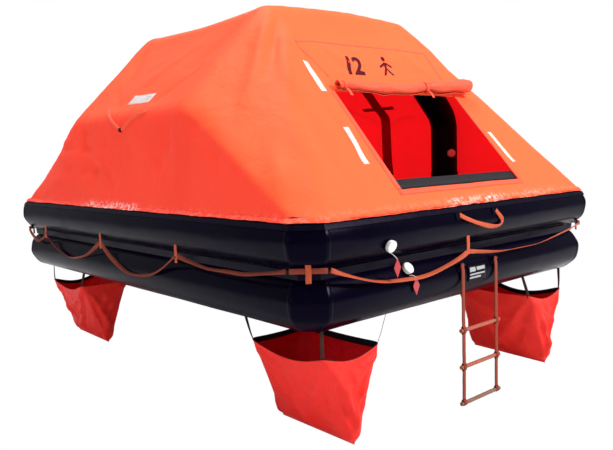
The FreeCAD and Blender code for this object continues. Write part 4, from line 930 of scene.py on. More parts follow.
# A thin slab over a grid of guide places near the tent, its faces at two lifts off the cloth.
def clothSlab(name, grid, low, high, material, nodeNames=(), crown=0.0, uv=None):
    grid = np.asarray(grid, float)
    rows, cols = grid.shape[:2]
    u, v = np.linspace(-1, 1, rows)[:, None], np.linspace(-1, 1, cols)[None, :]
    bulge = crown * (1 - u ** 2) * (1 - v ** 2)
    top, _ = onCanopy(grid, (high + bulge).ravel() + np.zeros(rows * cols))
    under, _ = onCanopy(grid, low)
    if uv is None:
        along = np.concatenate([[0], np.cumsum(lengths(np.diff(grid[:, 0], axis=0))[:, 0])])
        across = np.concatenate([[0], np.cumsum(lengths(np.diff(grid[0], axis=0))[:, 0])])
        uv = np.stack(np.meshgrid(along, across, indexing="ij"), axis=-1).reshape(-1, 2)
    faces = slabFaces(rows, cols)
    check = np.cross(top[cols] - top[0], top[1] - top[0])
    if check @ (top[0] - under[0]) > 0:
        faces = faces[:, ::-1]
    piece = makePiece(name, np.concatenate([top, under]), faces, material,
                      uv=np.concatenate([uv, uv]))
    for node in nodeNames:
        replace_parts(piece, node)
    return piece


# Grid of guide places between four corner places.
def patchGrid(corners, rows, cols):
    a, b, c, d = (np.asarray(q, float) for q in corners)
    u, v = np.linspace(0, 1, rows)[:, None, None], np.linspace(0, 1, cols)[None, :, None]
    return (a * (1 - u) + d * u) * (1 - v) + (b * (1 - u) + c * u) * v


# A place on the front slope at x and height z.
def frontPlace(x, z):
    share = (tent["roofZ"] - z) / (tent["roofZ"] - tent["footZ"])
    return (x, -(tent["roof"][1] + share * (tent["footY"] - tent["roof"][1])), z)


# A place on a side, on the slant above the knee or the wall below it.
def sidePlace(side, y, z):
    knee, kneeZ = tent["knee"]
    if z > kneeZ:
        x = tent["roof"][0] + (tent["roofZ"] - z) / (tent["roofZ"] - kneeZ) * (knee - tent["roof"][0])
    else:
        x = knee + (kneeZ - z) / (kneeZ - tent["footZ"]) * (tent["footX"] - knee)
    return (side * x, y, z)


# A band of guide places of set width along a route of canopy places.
def bandGrid(route, width, step=0.02, cols=4):
    reach = sum(lengths(np.diff(np.array(route, float), axis=0))[:, 0])
    line, _ = evenLine(softLine(route, 2), max(4, int(reach / step)))
    normal = tentField(line)[1]
    tangent = unit(np.gradient(line, axis=0))
    across = unit(np.cross(tangent, normal))
    offsets = np.linspace(-width / 2, width / 2, cols)
    return line[:, None, :] + across[:, None, :] * offsets[None, :, None]


reflectors = {"width": 0.034, "height": 0.0017,
              "lines": [((-0.585, 1.300), (-0.600, 1.120)), ((-0.622, 0.925), (-0.632, 0.745)),
                        ((0.600, 0.895), (0.606, 0.706)), ((0.590, 1.232), (0.596, 1.156))]}


# Four tapes down the front slope. The first stands for them all in the CAD.
def addReflectors():
    for k, ((x0, z0), (x1, z1)) in enumerate(reflectors["lines"]):
        route = [frontPlace(x0, z0), frontPlace((x0 + x1) / 2, (z0 + z1) / 2), frontPlace(x1, z1)]
        node = ["reflective_tapes_front"] if k == 0 else []
        clothSlab("reflectiveTape%d" % (k + 1), bandGrid(route, reflectors["width"], 0.012), 0.0,
                  reflectors["height"], tapeFilm, node)


addReflectors()

roofMark = {"y": (0.075, -0.205), "z": (1.135, 1.190), "slope": 0.0088, "thickness": 0.0012}


# A silver patch on the left slant, a little higher at its rear end.
def addRoofPatch():
    (y0, y1), (z0, z1), tilt = roofMark["y"], roofMark["z"], roofMark["slope"]
    corners = [sidePlace(-1, y0, z0 + tilt), sidePlace(-1, y1, z0),
               sidePlace(-1, y1, z1), sidePlace(-1, y0, z1 + tilt)]
    clothSlab("roofPatch", patchGrid(corners, 14, 40), 0.0, roofMark["thickness"], patchFilm,
              ["roof_patch"])


addRoofPatch()

gutter = {"span": 0.330, "top": 1.155, "low": 0.980, "width": 0.026, "rise": 0.011,
          "spout": ((0.015, 0.0), (0.014, 0.004), (0.012, 0.016),
                    (0.010, 0.018), (0.008, 0.016), (0.007, 0.004))}
# the sleeve is part of the gutter; its dark cloth and the bar across it are painted shadow, the arch's shadow
# on the inside of the side wall
sleeve = {"heights": (1.285, 1.07, 1.05, 0.60), "width": 0.095, "behind": (0.006, 0.001),
          "shadowBarHalf": 0.165, "shadowBarZ": 1.150, "shadowBarWidth": 0.034, "shadowBarBehind": (0.010, 0.0065)}


# A raised fold that runs down to the wall from both ends, its section and its ends sines.
def addGutter(side, name):
    span, top, low = gutter["span"], gutter["top"], gutter["low"]
    middle = (top + low) / 2
    route = [sidePlace(side, y, z) for y, z in (
        (span, top), (span * 0.5, middle - 0.004), (0.02, low), (-0.02, low),
        (-span * 0.45, middle - 0.016), (-span * 0.92, top - 0.085))]
    grid = bandGrid(route, gutter["width"], 0.012, 7)
    rows, cols = grid.shape[:2]
    ends = np.sin(np.linspace(0, math.pi, rows)) ** 0.5
    lift = 0.0015 + gutter["rise"] * (np.sin(np.linspace(0, math.pi, cols))[None, :] ** 0.6) * ends[:, None]
    clothSlab("rainGutter" + name, grid, 0.0, lift, curtainCloth,
              ["rain_gutter_" + name.lower()], uv=grid[..., 1:].reshape(-1, 2))
    base, normal = onCanopy([sidePlace(side, 0.0, low)])
    turn = np.linspace(0, 2 * math.pi, 24, endpoint=False)[:, None]
    across, over = np.array([0, 1.0, 0]), unit(np.cross(normal[0], [0, 1.0, 0]))
    spout = [base[0] + normal[0] * rise + radius * (np.cos(turn) * across + np.sin(turn) * over)
             for radius, rise in gutter["spout"]]
    around = len(turn)
    faces = [list(q) for q in gridQuads(len(spout), around, wrapCols=True)]
    faces.append(list(range((len(spout) - 1) * around, len(spout) * around)))
    makePiece("drainSpout" + name, np.array(spout), faces, patchRubber)
    # painted shadow: a dark sleeve down the inside of the wall and a dark bar across it
    drop = [sidePlace(side, 0.0, z) for z in sleeve["heights"]]
    inside = -tent["thickness"]
    clothSlab("drainSleeve" + name, bandGrid(drop, sleeve["width"], 0.02, 8), inside - sleeve["behind"][0],
              inside - sleeve["behind"][1], shadowSleeveCloth,
              ["rain_drain_sleeve_" + name.lower()])
    bar = [sidePlace(side, y, sleeve["shadowBarZ"]) for y in (-sleeve["shadowBarHalf"], 0.0, sleeve["shadowBarHalf"])]
    clothSlab("paintedShadowBar" + name, bandGrid(bar, sleeve["shadowBarWidth"], 0.02, 4),
              inside - sleeve["shadowBarBehind"][0], inside - sleeve["shadowBarBehind"][1], shadowSleeveCloth)


addGutter(-1, "Left")
addGutter(1, "Right")

doorEdge = {"width": 0.028, "lift": 0.0016}


# Doubled cloth sewn round the entrance.
def addDoorBinding():
    half, sill, head = tent["door"]
    w = doorEdge["width"]
    edges = {"Left": (-w / 2, (-half, sill), (-half, head)), "Right": (w / 2, (half, head), (half, sill)),
             "Sill": (0, (half + w, sill - w / 2), (-half - w, sill - w / 2))}
    for name, (push, (x0, z0), (x1, z1)) in edges.items():
        route = [frontPlace(x0 + push, z0), frontPlace((x0 + x1) / 2 + push, (z0 + z1) / 2),
                 frontPlace(x1 + push, z1)]
        clothSlab("doorBinding" + name, bandGrid(route, w, 0.02, 5), 0.0002, doorEdge["lift"], curtainCloth)


addDoorBinding()


# rows as height from the sill and how far back they lie
sillHem = {"rows": ((-0.012, 0.012), (0.018, 0.014), (0.046, 0.018)), "past": 0.01, "cols": 40,
           "thickness": 0.0025}


# A black hem on the cloth's inside, standing above the sill.
def addSillHem():
    half, sill, _ = tent["door"]
    xs = np.linspace(-half - sillHem["past"], half + sillHem["past"], sillHem["cols"])
    top = np.array([np.array(frontPlace(x, sill + rise)) + np.array([0, back, 0])
                    for rise, back in sillHem["rows"] for x in xs])
    under = top + np.array([0, sillHem["thickness"], 0])
    makePiece("sillHem", np.concatenate([top, under]), slabFaces(3, sillHem["cols"])[:, ::-1], blackWebbing,
              uv=np.tile(top[:, [0, 2]], (2, 1)))


addSillHem()

panelSeam = {"width": 0.012, "height": 0.0011,
             "Left": ((-0.555, 1.430), (-0.525, 1.33), (-0.485, 1.215)),
             "Right": ((0.555, 1.430), (0.545, 1.33), (0.535, 1.215)),
             "Top": ((-0.555, 1.430), (0, 1.436), (0.555, 1.430))}


# The sewn outline of the panel that the rolled curtain hangs from.
def addPanelSeam():
    for name in ("Left", "Right", "Top"):
        route = [frontPlace(x, z) for x, z in panelSeam[name]]
        clothSlab("panelSeam" + name, bandGrid(route, panelSeam["width"], 0.02, 3), 0.0, panelSeam["height"],
                  curtainCloth)


addPanelSeam()

marking = {"height": 0.148, "x": -0.335, "z": 1.240, "weight": 0.0065, "lean": 0.42, "thickness": 0.0016,
           "capital": 0.70, "spacing": 0.92, "narrow": 0.80}


# Outline letters turned to a mesh and laid on the cloth.
def printNumber(text):
    data = bpy.data.curves.new("numberText", "FONT")
    data.body = text
    data.size = marking["height"] / marking["capital"]
    data.space_character = marking["spacing"]
    data.offset = marking["weight"]
    holder = bpy.data.objects.new("numberText", data)
    bpy.context.scene.collection.objects.link(holder)
    mesh = bpy.data.meshes.new_from_object(holder)
    bpy.data.objects.remove(holder)
    fine = bmesh.new()
    fine.from_mesh(mesh)
    bmesh.ops.triangulate(fine, faces=fine.faces)
    bmesh.ops.subdivide_edges(fine, edges=fine.edges, cuts=3, use_grid_fill=True)
    fine.to_mesh(mesh)
    fine.free()
    co = np.zeros(len(mesh.vertices) * 3)
    mesh.vertices.foreach_get("co", co)
    flat = co.reshape(-1, 3)
    loops = [list(p.vertices) for p in mesh.polygons]
    fall = tent["roofZ"] - tent["footZ"]
    pitch = fall / math.hypot(fall, tent["footY"] - tent["roof"][1])
    guide = np.array([frontPlace(marking["x"] + a * marking["narrow"] + b * marking["lean"],
                                 marking["z"] + b * pitch) for a, b, _ in flat])
    top, _ = onCanopy(guide, marking["thickness"])
    makePiece("personCount", top, loops, printInk)


# A walking figure: outlines in shares of its height, across and up from its foot.
figure = {"x": 0.040, "z": 1.246, "size": 0.128, "head": (0.13, 0.86), "limbs": [
    ((-0.10, 0.36), (0.14, 0.30), (0.16, 0.66), (-0.08, 0.68)),
    ((-0.08, 0.66), (-0.42, 0.48), (-0.40, 0.38), (-0.09, 0.52)),
    ((0.15, 0.66), (0.15, 0.52), (0.40, 0.40), (0.42, 0.50)),
    ((-0.10, 0.36), (-0.34, 0.0), (-0.20, 0.0), (0.02, 0.34)),
    ((0.02, 0.34), (0.24, 0.02), (0.38, 0.04), (0.14, 0.32))]}


# Each outline is leant and laid on the cloth as the number is.
def printFigure():
    radius, rise = figure["head"]
    turn = np.linspace(0, 2 * math.pi, 16, endpoint=False)
    head = [(radius * math.cos(a), rise + radius * math.sin(a)) for a in turn]
    points, faces = [], []
    for shape in [head] + figure["limbs"]:
        faces.append(list(range(len(points), len(points) + len(shape))))
        points += [frontPlace(figure["x"] + (a + b * marking["lean"]) * figure["size"],
                              figure["z"] + b * figure["size"]) for a, b in shape]
    top, _ = onCanopy(points, marking["thickness"])
    makePiece("personSymbol", top, faces, printInk)


printNumber("12")
printFigure()
print("canopy fittings made")

# Rolled entrance curtain

curtain = {"x": (-0.505, 0.655), "radius": (0.025, 0.043), "height": (1.143, 1.160),
           "turns": 2.3, "around": 60, "stations": 110, "ties": (-0.455, 0.225), "thickness": 0.0022,
           "squeeze": 0.26, "sag": 0.014, "lump": 0.0045, "endShift": 0.006, "tieWidth": 0.022,
           "tailWidth": 0.020}


# The roll grows thicker towards its loose right end, by a smooth step.
def rollRadius(x):
    low, high = curtain["radius"]
    return low + (high - low) * ease(x, -0.1, 0.5)


# The roll sits a little higher towards its right end, by a smooth step.
def rollHeight(x):
    low, high = curtain["height"]
    return low + (high - low) * ease(x, 0.0, 0.6)


# A soft spiral roll: its axis hangs a little between the ties, and each turn lies on the last.
def addCurtainRoll():
    count = curtain["stations"]
    xs = np.linspace(*curtain["x"], count)
    near = np.minimum(np.abs(xs - curtain["ties"][0]), np.abs(xs - curtain["ties"][1]))
    squeeze = 1 - curtain["squeeze"] * np.exp(-(near / 0.022) ** 2)
    sag = -curtain["sag"] * (1 - np.exp(-(near / 0.12) ** 2)) * (1 - ease(xs, 0.3, 0.6))
    loose = 1 + 0.32 * np.exp(-((xs + 0.12) / 0.17) ** 2) + 0.10 * ease(xs, 0.45, 0.62)
    girth, level = rollRadius(xs), rollHeight(xs)
    lumps = curtain["lump"] * waves(xs, xs * 0, 5.0, 21)
    turn = np.linspace(0, curtain["turns"] * 2 * math.pi, int(curtain["around"] * curtain["turns"]))
    wound = turn / turn[-1]
    slopeDir = unit(np.array(frontPlace(0, 1.2)) - np.array(frontPlace(0, 1.1)))
    out = np.array([0, -slopeDir[2], slopeDir[1]])
    toward = np.cos(turn + 2.4)[:, None] * out * 0.92 + np.sin(turn + 2.4)[:, None] * slopeDir * 1.05
    rows = []
    for k, x in enumerate(xs):
        radius = (girth[k] * loose[k] + lumps[k]) * squeeze[k] * (0.42 + 0.58 * wound)
        wobble = 1 + 0.05 * np.sin(turn * 3 + x * 23) * wound
        base = np.array(frontPlace(x, level[k] + sag[k]))
        centre = base + out * (girth[k] * squeeze[k] + 0.004)
        ring = centre + toward * (radius * wobble)[:, None]
        if abs(k - count / 2) > count / 2 - 4:  # the turns end a little apart
            ring[:, 0] += curtain["endShift"] * np.sin(turn * 1.3 + 0.5) * (1 if k > count / 2 else -1)
        rows.append(ring)
    p = np.array(rows)
    uv = np.stack(np.meshgrid(xs, turn * curtain["radius"][1], indexing="ij"), axis=-1)
    piece = makePiece("curtainRoll", p, gridQuads(count, len(turn)), curtainCloth,
                      uv=uv)
    piece.modifiers.new("cloth", "SOLIDIFY").thickness = curtain["thickness"]
    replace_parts(piece, "door_curtain_roll")
    return slopeDir, out


slopeUp, slopeOut = addCurtainRoll()


# Each tie is a ring of webbing round the roll with a short tail down the slope.
def addCurtainTies():
    parts = []
    for x in curtain["ties"]:
        turn = np.linspace(0, 2 * math.pi, 40)
        radius = float(rollRadius(x)) * 0.84
        base = np.array(frontPlace(x, float(rollHeight(x))))
        centre = base + slopeOut * (radius + 0.002)
        line = centre + np.cos(turn)[:, None] * slopeOut * (radius + 0.0015) \
            + np.sin(turn)[:, None] * slopeUp * (radius + 0.003)
        line[:, 0] += 0.003 * np.sin(turn)
        parts.append(ribbon(line, line - centre, curtain["tieWidth"], 0.002))
        low = centre - slopeUp * radius + slopeOut * 0.004
        tail = [low, low - slopeUp * 0.02 + slopeOut * 0.01, low - slopeUp * 0.065 + slopeOut * 0.006]
        tail = evenLine(softLine(tail), 12)[0]
        parts.append(ribbon(tail, np.tile(slopeOut, (12, 1)), curtain["tailWidth"], 0.0018))
    addWebbing("curtainTies", parts, curtainCloth, "door_curtain_ties")


addCurtainTies()


rearPanel = {"margin": 0.060, "low": 0.0004, "high": 0.0030, "crown": 0.004}


# The closed rear entrance: a cloth panel toggled over the far end slope.
def addRearCurtain():
    half, sill, head = tent["door"]
    half, head = half + rearPanel["margin"], head + rearPanel["margin"]
    mirror = np.array([1, -1, 1.0])
    places = ((-half, sill), (half, sill), (half, head), (-half, head))
    corners = [np.array(frontPlace(x, z)) * mirror for x, z in places]
    piece = clothSlab("rearCurtain", patchGrid(corners, 40, 60), rearPanel["low"], rearPanel["high"],
                      curtainCloth, ["rear_door_curtain"], rearPanel["crown"])


addRearCurtain()
print("curtains made")

# Skirt that laps the canopy onto the upper tube

skirt = {"top": 49.0, "low": 38.0, "lift": 0.0040, "thickness": 0.0016, "wave": 1.3, "fine": 0.5,
         "ripple": 0.0006, "rows": 9, "step": 0.02}


# Rows round the tube at falling angles in degrees; the lower edge wanders by a degree or so.
def addSkirt():
    corners = ringCorners(hull["upperHalf"], hull["upperZ"])
    count = len(corners)
    base, out, along = [], [], []
    travelled = 0.0
    for k in range(count):
        a, b = corners[k], corners[(k + 1) % count]
        run = float(lengths(b - a)[0])
        before, here = unit(a - corners[k - 1]), unit(b - a)
        after = unit(corners[(k + 2) % count] - b)
        start = unit(np.array([before[1] + here[1], -before[0] - here[0], 0])) / math.cos(math.pi / 8)
        stop = unit(np.array([after[1] + here[1], -after[0] - here[0], 0])) / math.cos(math.pi / 8)
        for share in np.linspace(0, 1, max(6, int(run / skirt["step"])))[:-1]:
            base.append(a + (b - a) * share)
            out.append(start * (1 - share) + stop * share)
            along.append(travelled + share * run)
        travelled += run
    base, out, along = np.array(base), np.array(out), np.array(along)
    rows, count = [], skirt["rows"]
    edge = skirt["low"] + skirt["wave"] * waves(along, along * 0, 3.0, 31)
    edge = edge + skirt["fine"] * waves(along, along * 0, 14.0, 32)
    for layer in (skirt["thickness"], 0.0):
        for share in np.linspace(0, 1, count):
            angle = np.radians(skirt["top"] + (edge - skirt["top"]) * share)[:, None]
            lift = skirt["lift"] + layer + skirt["ripple"] * waves(along, along * 0 + share, 9.0, 33)[:, None]
            radial = np.cos(angle) * out + np.sin(angle) * np.array([0, 0, 1.0])
            rows.append(base + (tubeRadius + lift) * radial)
    loop = np.concatenate([np.array(rows[:count]), np.array(rows[count:])[::-1]])
    uv = np.stack(np.broadcast_arrays(along[None, :], np.arange(2 * count)[:, None] * 0.004), axis=-1)
    piece = makePiece("canopySkirt", loop, gridQuads(2 * count, len(along), True, True), canopyOutside,
                      uv=uv)
    x, y = loop[..., 0].ravel(), loop[..., 1].ravel()
    spread = glueSpread(x, y, (-0.28, -0.12, 0.42, 0.58), 0.4)
    setAttribute(piece, "glue", np.clip(spread + 0.14, 0, 1))
    # painted light: the front of the skirt gets half the lighter orange, the other sides very little
    setAttribute(piece, "paintedSkyLight", np.where(y < -1.55, 0.5, 0.05))


addSkirt()
dressNodes(patchRubber, "tube_fabric", "canopy_lap_strip")
print("skirt made")

# Water pockets

pocket = {"across": 0.870, "along": 1.325, "half": 0.195, "halfLength": 0.275, "rim": -0.125, "low": -0.585,
          "lowHalf": 0.013, "lip": 0.056, "lipEnd": 0.044, "lipInner": 0.007, "hem": 0.028,
          "thickness": 0.0014, "columns": 29, "belly": (0.012, 0.008), "ripple": 0.0045, "relief": 1.5}
strap = {"width": 0.018, "thickness": 0.0022, "inset": 0.017, "spread": 0.140, "foot": 0.016, "top": 0.140,
         "sink": 0.004, "twist": 0.9, "floor": 0.010, "points": 16}


# Half width of the wedge at a height.
def pocketHalf(z):
    share = (z - pocket["low"]) / (pocket["rim"] - pocket["low"])
    return pocket["lowHalf"] + (pocket["half"] - pocket["lowHalf"]) * share


# The loop round the sack as two numbers from -1 to 1; +1 is the side that faces outward.
def pocketLoop(n):
    side = np.linspace(-1, 1, n)[:-1]
    one = np.ones(n - 1)
    a = np.concatenate([side, one, -side, -one])
    b = np.concatenate([-one, side, one, -side])
    return a, b


# The rim hangs between the straps, most on the two outward sides.
def rimHeight(a, b):
    outX = (a > 0.999) * pocket["lip"] * (1 - b ** 2) ** 1.2
    outY = (b > 0.999) * pocket["lipEnd"] * (1 - a ** 2) ** 1.2
    inner = ((a < -0.999) * (1 - b ** 2) + (b < -0.999) * (1 - a ** 2)) * pocket["lipInner"]
    return pocket["rim"] - outX - outY - inner


# A wedge that narrows downwards: a loop at the share t of the depth, its sides bowed in by a sine.
def pocketPoints(sx, sy, a, b, t, seed, inset=0.0):
    rim = rimHeight(a, b)
    z = rim + (pocket["low"] - rim) * t
    w, l = pocketHalf(z) - inset, pocket["halfLength"] - inset
    last = 1 - ease(t, 0.93, 1.0)
    x = a * (w * (1 - 0.035 * np.sin(t * math.pi)) * last + 0.0006)
    y = b * l * (1 - 0.02 * t * (1 + 0.5 * np.sin(seed)))
    tiltLow = 0.008 * b * ease(t, 0.8, 1.0) * math.cos(seed * 1.7)
    return np.stack([sx * (pocket["across"] + x), sy * (pocket["along"] + y), z + tiltLow + 0.002], axis=-1)


# Creases as start, end, depth and half width on a side, from -1 to 1 along it and in metres below the rim.
pocketCreases = [
    (-1.0, 0.00, 0.30, 0.44, 0.013, 0.024), (-0.9, 0.03, -0.10, 0.40, -0.009, 0.020),
    (-1.0, 0.02, 0.75, 0.20, 0.010, 0.020), (1.0, 0.00, -0.20, 0.42, 0.011, 0.026),
    (0.9, 0.04, 0.45, 0.38, -0.009, 0.022), (0.2, 0.10, -0.30, 0.30, -0.007, 0.026),
    (-0.6, 0.16, 0.15, 0.24, 0.007, 0.016), (0.7, 0.18, 0.20, 0.28, 0.007, 0.016),
    (-0.2, 0.30, -0.7, 0.44, 0.008, 0.020), (0.5, 0.28, 0.85, 0.44, 0.007, 0.020),
    (0.0, 0.05, 0.10, 0.22, 0.006, 0.018)]


# How far the cloth stands out: a belly on each side, creases from its corners, and ripples.
def pocketRelief(a, b, t, seed):
    onX = (np.abs(a) > 0.999) * 1.0
    side = np.where(onX > 0, b, a)
    fall = pocket["rim"] - pocket["low"]
    height = pocket["rim"] - fall * t
    width = np.where(onX > 0, pocket["halfLength"], pocketHalf(height))
    flat, deep = side * width, t * fall
    lift = np.where(onX > 0, *pocket["belly"]) * np.sin(t * math.pi) ** 0.8 * (1 - side ** 2)
    for s0, d0, s1, d1, depth, half in pocketCreases:
        sway = 0.14 * math.sin(seed * 2.3 + s0 * 3 + d1 * 9)
        start, run = (s0 * width, d0), ((s1 + sway - s0) * width, d1 - d0)
        share = ((flat - start[0]) * run[0] + (deep - start[1]) * run[1]) / (run[0] ** 2 + run[1] ** 2)
        near = np.clip(share, 0, 1)
        far = np.hypot(flat - start[0] - near * run[0], deep - start[1] - near * run[1])
        ends = ease(share, -0.05, 0.2)
        lift = lift + depth * np.exp(-(far / half) ** 2) * ends * (1 - ease(share, 0.7, 1.08))
    lift = lift + pocket["ripple"] * waves(flat + 0.6 * onX, deep, 4.5, 40 + seed)
    return pocket["relief"] * lift * ease(t, 0.0, 0.12) * (1 - ease(t, 0.9, 1.0)) * (1 - side ** 10)


# Each loop's corners are rounded by averaging along it.
def softLoops(grid, rounds=5):
    grid = np.array(grid, float)
    for _ in range(rounds):
        grid = 0.5 * grid + 0.25 * (np.roll(grid, 1, axis=-2) + np.roll(grid, -1, axis=-2))
    return grid


# Height of a tube's underside over a place on the plan, or of the floor's where no tube is near.
def strapTop(x, y):
    dx, dy = abs(abs(x) - hull["lowerHalf"][0]), abs(abs(y) - hull["lowerHalf"][1])
    near = min(dx, dy)
    if near < tubeRadius:
        return hull["lowerZ"] - math.sqrt(tubeRadius ** 2 - near ** 2)
    return strap["floor"]


# One strap from each corner of the rim to the raft, those of two corners leant inwards along one edge.
def pocketRibbons(sx, sy, seed):
    ribbons = []
    for ax, ay in ((1, 1), (1, -1), (-1, 1), (-1, -1)):
        footX = sx * (pocket["across"] + ax * (pocket["half"] - strap["inset"]))
        footY = sy * (pocket["along"] + ay * (pocket["halfLength"] - strap["inset"]))
        topX = footX - sx * (strap["spread"] if ax < 0 and ay > 0 else 0)
        topY = footY - sy * (strap["spread"] if ay < 0 and ax > 0 else 0)
        foot = np.array([footX, footY, pocket["rim"] - strap["foot"]])
        top = np.array([topX, topY, strap["top"]])
        rise = (strapTop(topX, topY) + strap["sink"] - foot[2]) / (top[2] - foot[2])
        end = foot + (top - foot) * rise
        sway = unit(np.array([ax * sx, ay * sy, 0.0]))
        line = [foot, foot * 0.7 + end * 0.3 + sway * 0.004, foot * 0.3 + end * 0.7 + sway * 0.002, end]
        line = evenLine(softLine(line), strap["points"])[0]
        turn = np.linspace(0, strap["twist"] * math.sin(seed + ax * 2 + ay), strap["points"])[:, None]
        cross = unit(np.cross(sway, [0, 0, 1.0]))
        ribbons.append(ribbon(line, sway * np.cos(turn) + cross * np.sin(turn), strap["width"],
                              strap["thickness"]))
    return ribbons


# One pocket with its hem: rounded loops pushed out by the relief along their normals.
def addPocket(sx, sy, name, seed):
    a, b = pocketLoop(pocket["columns"])
    t = np.concatenate([np.linspace(0, 0.06, 4), np.linspace(0.06, 0.9, 36)[1:],
                        np.linspace(0.9, 1.0, 8)[1:]])
    grid = softLoops(np.array([pocketPoints(sx, sy, a, b, share, seed) for share in t]))
    around, down = np.roll(grid, -1, axis=1) - np.roll(grid, 1, axis=1), np.gradient(grid, axis=0)
    outward = unit(np.cross(around, down).reshape(-1, 3)).reshape(grid.shape)
    middle = np.array([sx * pocket["across"], sy * pocket["along"], 0])
    outward *= np.sign(((grid - middle)[..., :2] * outward[..., :2]).sum(axis=-1))[..., None]
    grid = grid + outward * np.array([pocketRelief(a, b, share, seed) for share in t])[..., None]
    faces = gridQuads(len(t), len(a), wrapCols=True)
    if sx * sy > 0:
        faces = faces[:, ::-1]
    around = np.cumsum(np.concatenate([[0], lengths(np.diff(grid[0], axis=0))[:, 0]]))
    fall = pocket["rim"] - pocket["low"]
    uv = np.stack(np.broadcast_arrays(around[None, :], t[:, None] * fall), axis=-1)
    piece = makePiece("waterPocket" + name, grid, faces, [pocketOutside, pocketInside],
                      uv=uv)
    addShell(piece, 0.0015, pocket["thickness"])
    node = "water_pocket_" + ("front" if sy < 0 else "rear") + "_" + ("left" if sx < 0 else "right")
    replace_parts(piece, node)
    deep = pocket["hem"] / fall
    insets = ((0.0, 0.0020), (0.0, 0.0046), (deep, 0.0052), (deep, 0.0026))
    rows = softLoops(np.array([pocketPoints(sx, sy, a, b, share, seed, inset) for share, inset in insets]))
    rows[:2, :, 2] += 0.0012
    hemFaces = gridQuads(4, len(a), True, True)
    if sx * sy < 0:
        hemFaces = hemFaces[:, ::-1]
    down = np.array([0, 0.002, 0.03, 0.032])
    uvHem = np.stack(np.broadcast_arrays(around[None, :], down[:, None]), axis=-1)
    hem = makePiece("pocketHem" + name, rows, hemFaces, blackWebbing, uv=uvHem)
    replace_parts(hem, node.replace("water_pocket", "pocket_hem"))


# The four pockets, and their straps as one piece.
def addPockets():
    ribbons = []
    quarters = ((-1, -1, "FrontLeft"), (1, -1, "FrontRight"), (-1, 1, "RearLeft"), (1, 1, "RearRight"))
    for k, (sx, sy, name) in enumerate(quarters):
        addPocket(sx, sy, name, k + 1)
        ribbons += pocketRibbons(sx, sy, k + 1)
    addWebbing("pocketStraps", ribbons, brownWebbing, "pocket_straps")


addPockets()
print("pockets made")

# Lifelines: webbing hung between tabs, with the heights of each tab and each low point

lifeline = {"width": 0.025, "thickness": 0.0024, "gap": 0.0026, "cornerZ": 0.300, "points": 44,
            "twist": (68, 30), "sway": 12, "wave": 0.0025}
tab = {"z": (0.349, 0.246), "width": 0.026, "thickness": 0.0026, "off": 0.0062, "bow": 0.001, "points": 12}
endHeights, sideHeights = [0.300, 0.262, 0.300], [0.300, 0.288, 0.288, 0.288, 0.300]
lineSides = {
    "front": (0, [-1.086, -0.100, 1.086], endHeights, [0.186, 0.225]),
    "right": (90, [-1.562, -0.640, 0.290, 1.220, 1.562], sideHeights, [0.250, 0.128, 0.145, 0.218]),
    "rear": (180, [-1.086, 0.0, 1.086], endHeights, [0.186, 0.225]),
    "left": (270, [-1.562, -1.220, -0.290, 0.640, 1.562], sideHeights, [0.218, 0.145, 0.128, 0.250])}


# Turn points about the vertical by a number of degrees.
def turnPlan(p, degrees):
    c, s = math.cos(math.radians(degrees)), math.sin(math.radians(degrees))
    p = np.asarray(p, float)
    return np.stack([p[..., 0] * c - p[..., 1] * s, p[..., 0] * s + p[..., 1] * c, p[..., 2]], axis=-1)


# One hanging run: a parabola through its ends and low point, twisted most about its middle.
def hangingRun(a0, z0, low, a1, z1, distance, seed):
    share = np.linspace(0, 1, lifeline["points"])
    mid = share * (1 - share) * 4
    sink = (middleOf(z0, z1) - low) * mid
    z = z0 + (z1 - z0) * share - sink + lifeline["wave"] * np.sin(share * 17 + seed) * mid
    sign = -1 if seed % 3 == 1 else 1
    most = lifeline["twist"][0 if a1 - a0 > 0.5 else 1]
    twist = sign * math.radians(most) * mid ** 0.35
    twist = twist + math.radians(lifeline["sway"]) * np.sin(share * 9 + seed)
    off = distance + lifeline["gap"] + np.abs(np.sin(twist)) * lifeline["width"] * 0.42
    line = np.stack([a0 + (a1 - a0) * share, -off, z], axis=-1)
    normal = np.stack([share * 0, -np.cos(twist), np.sin(twist)], axis=-1)
    return line, normal


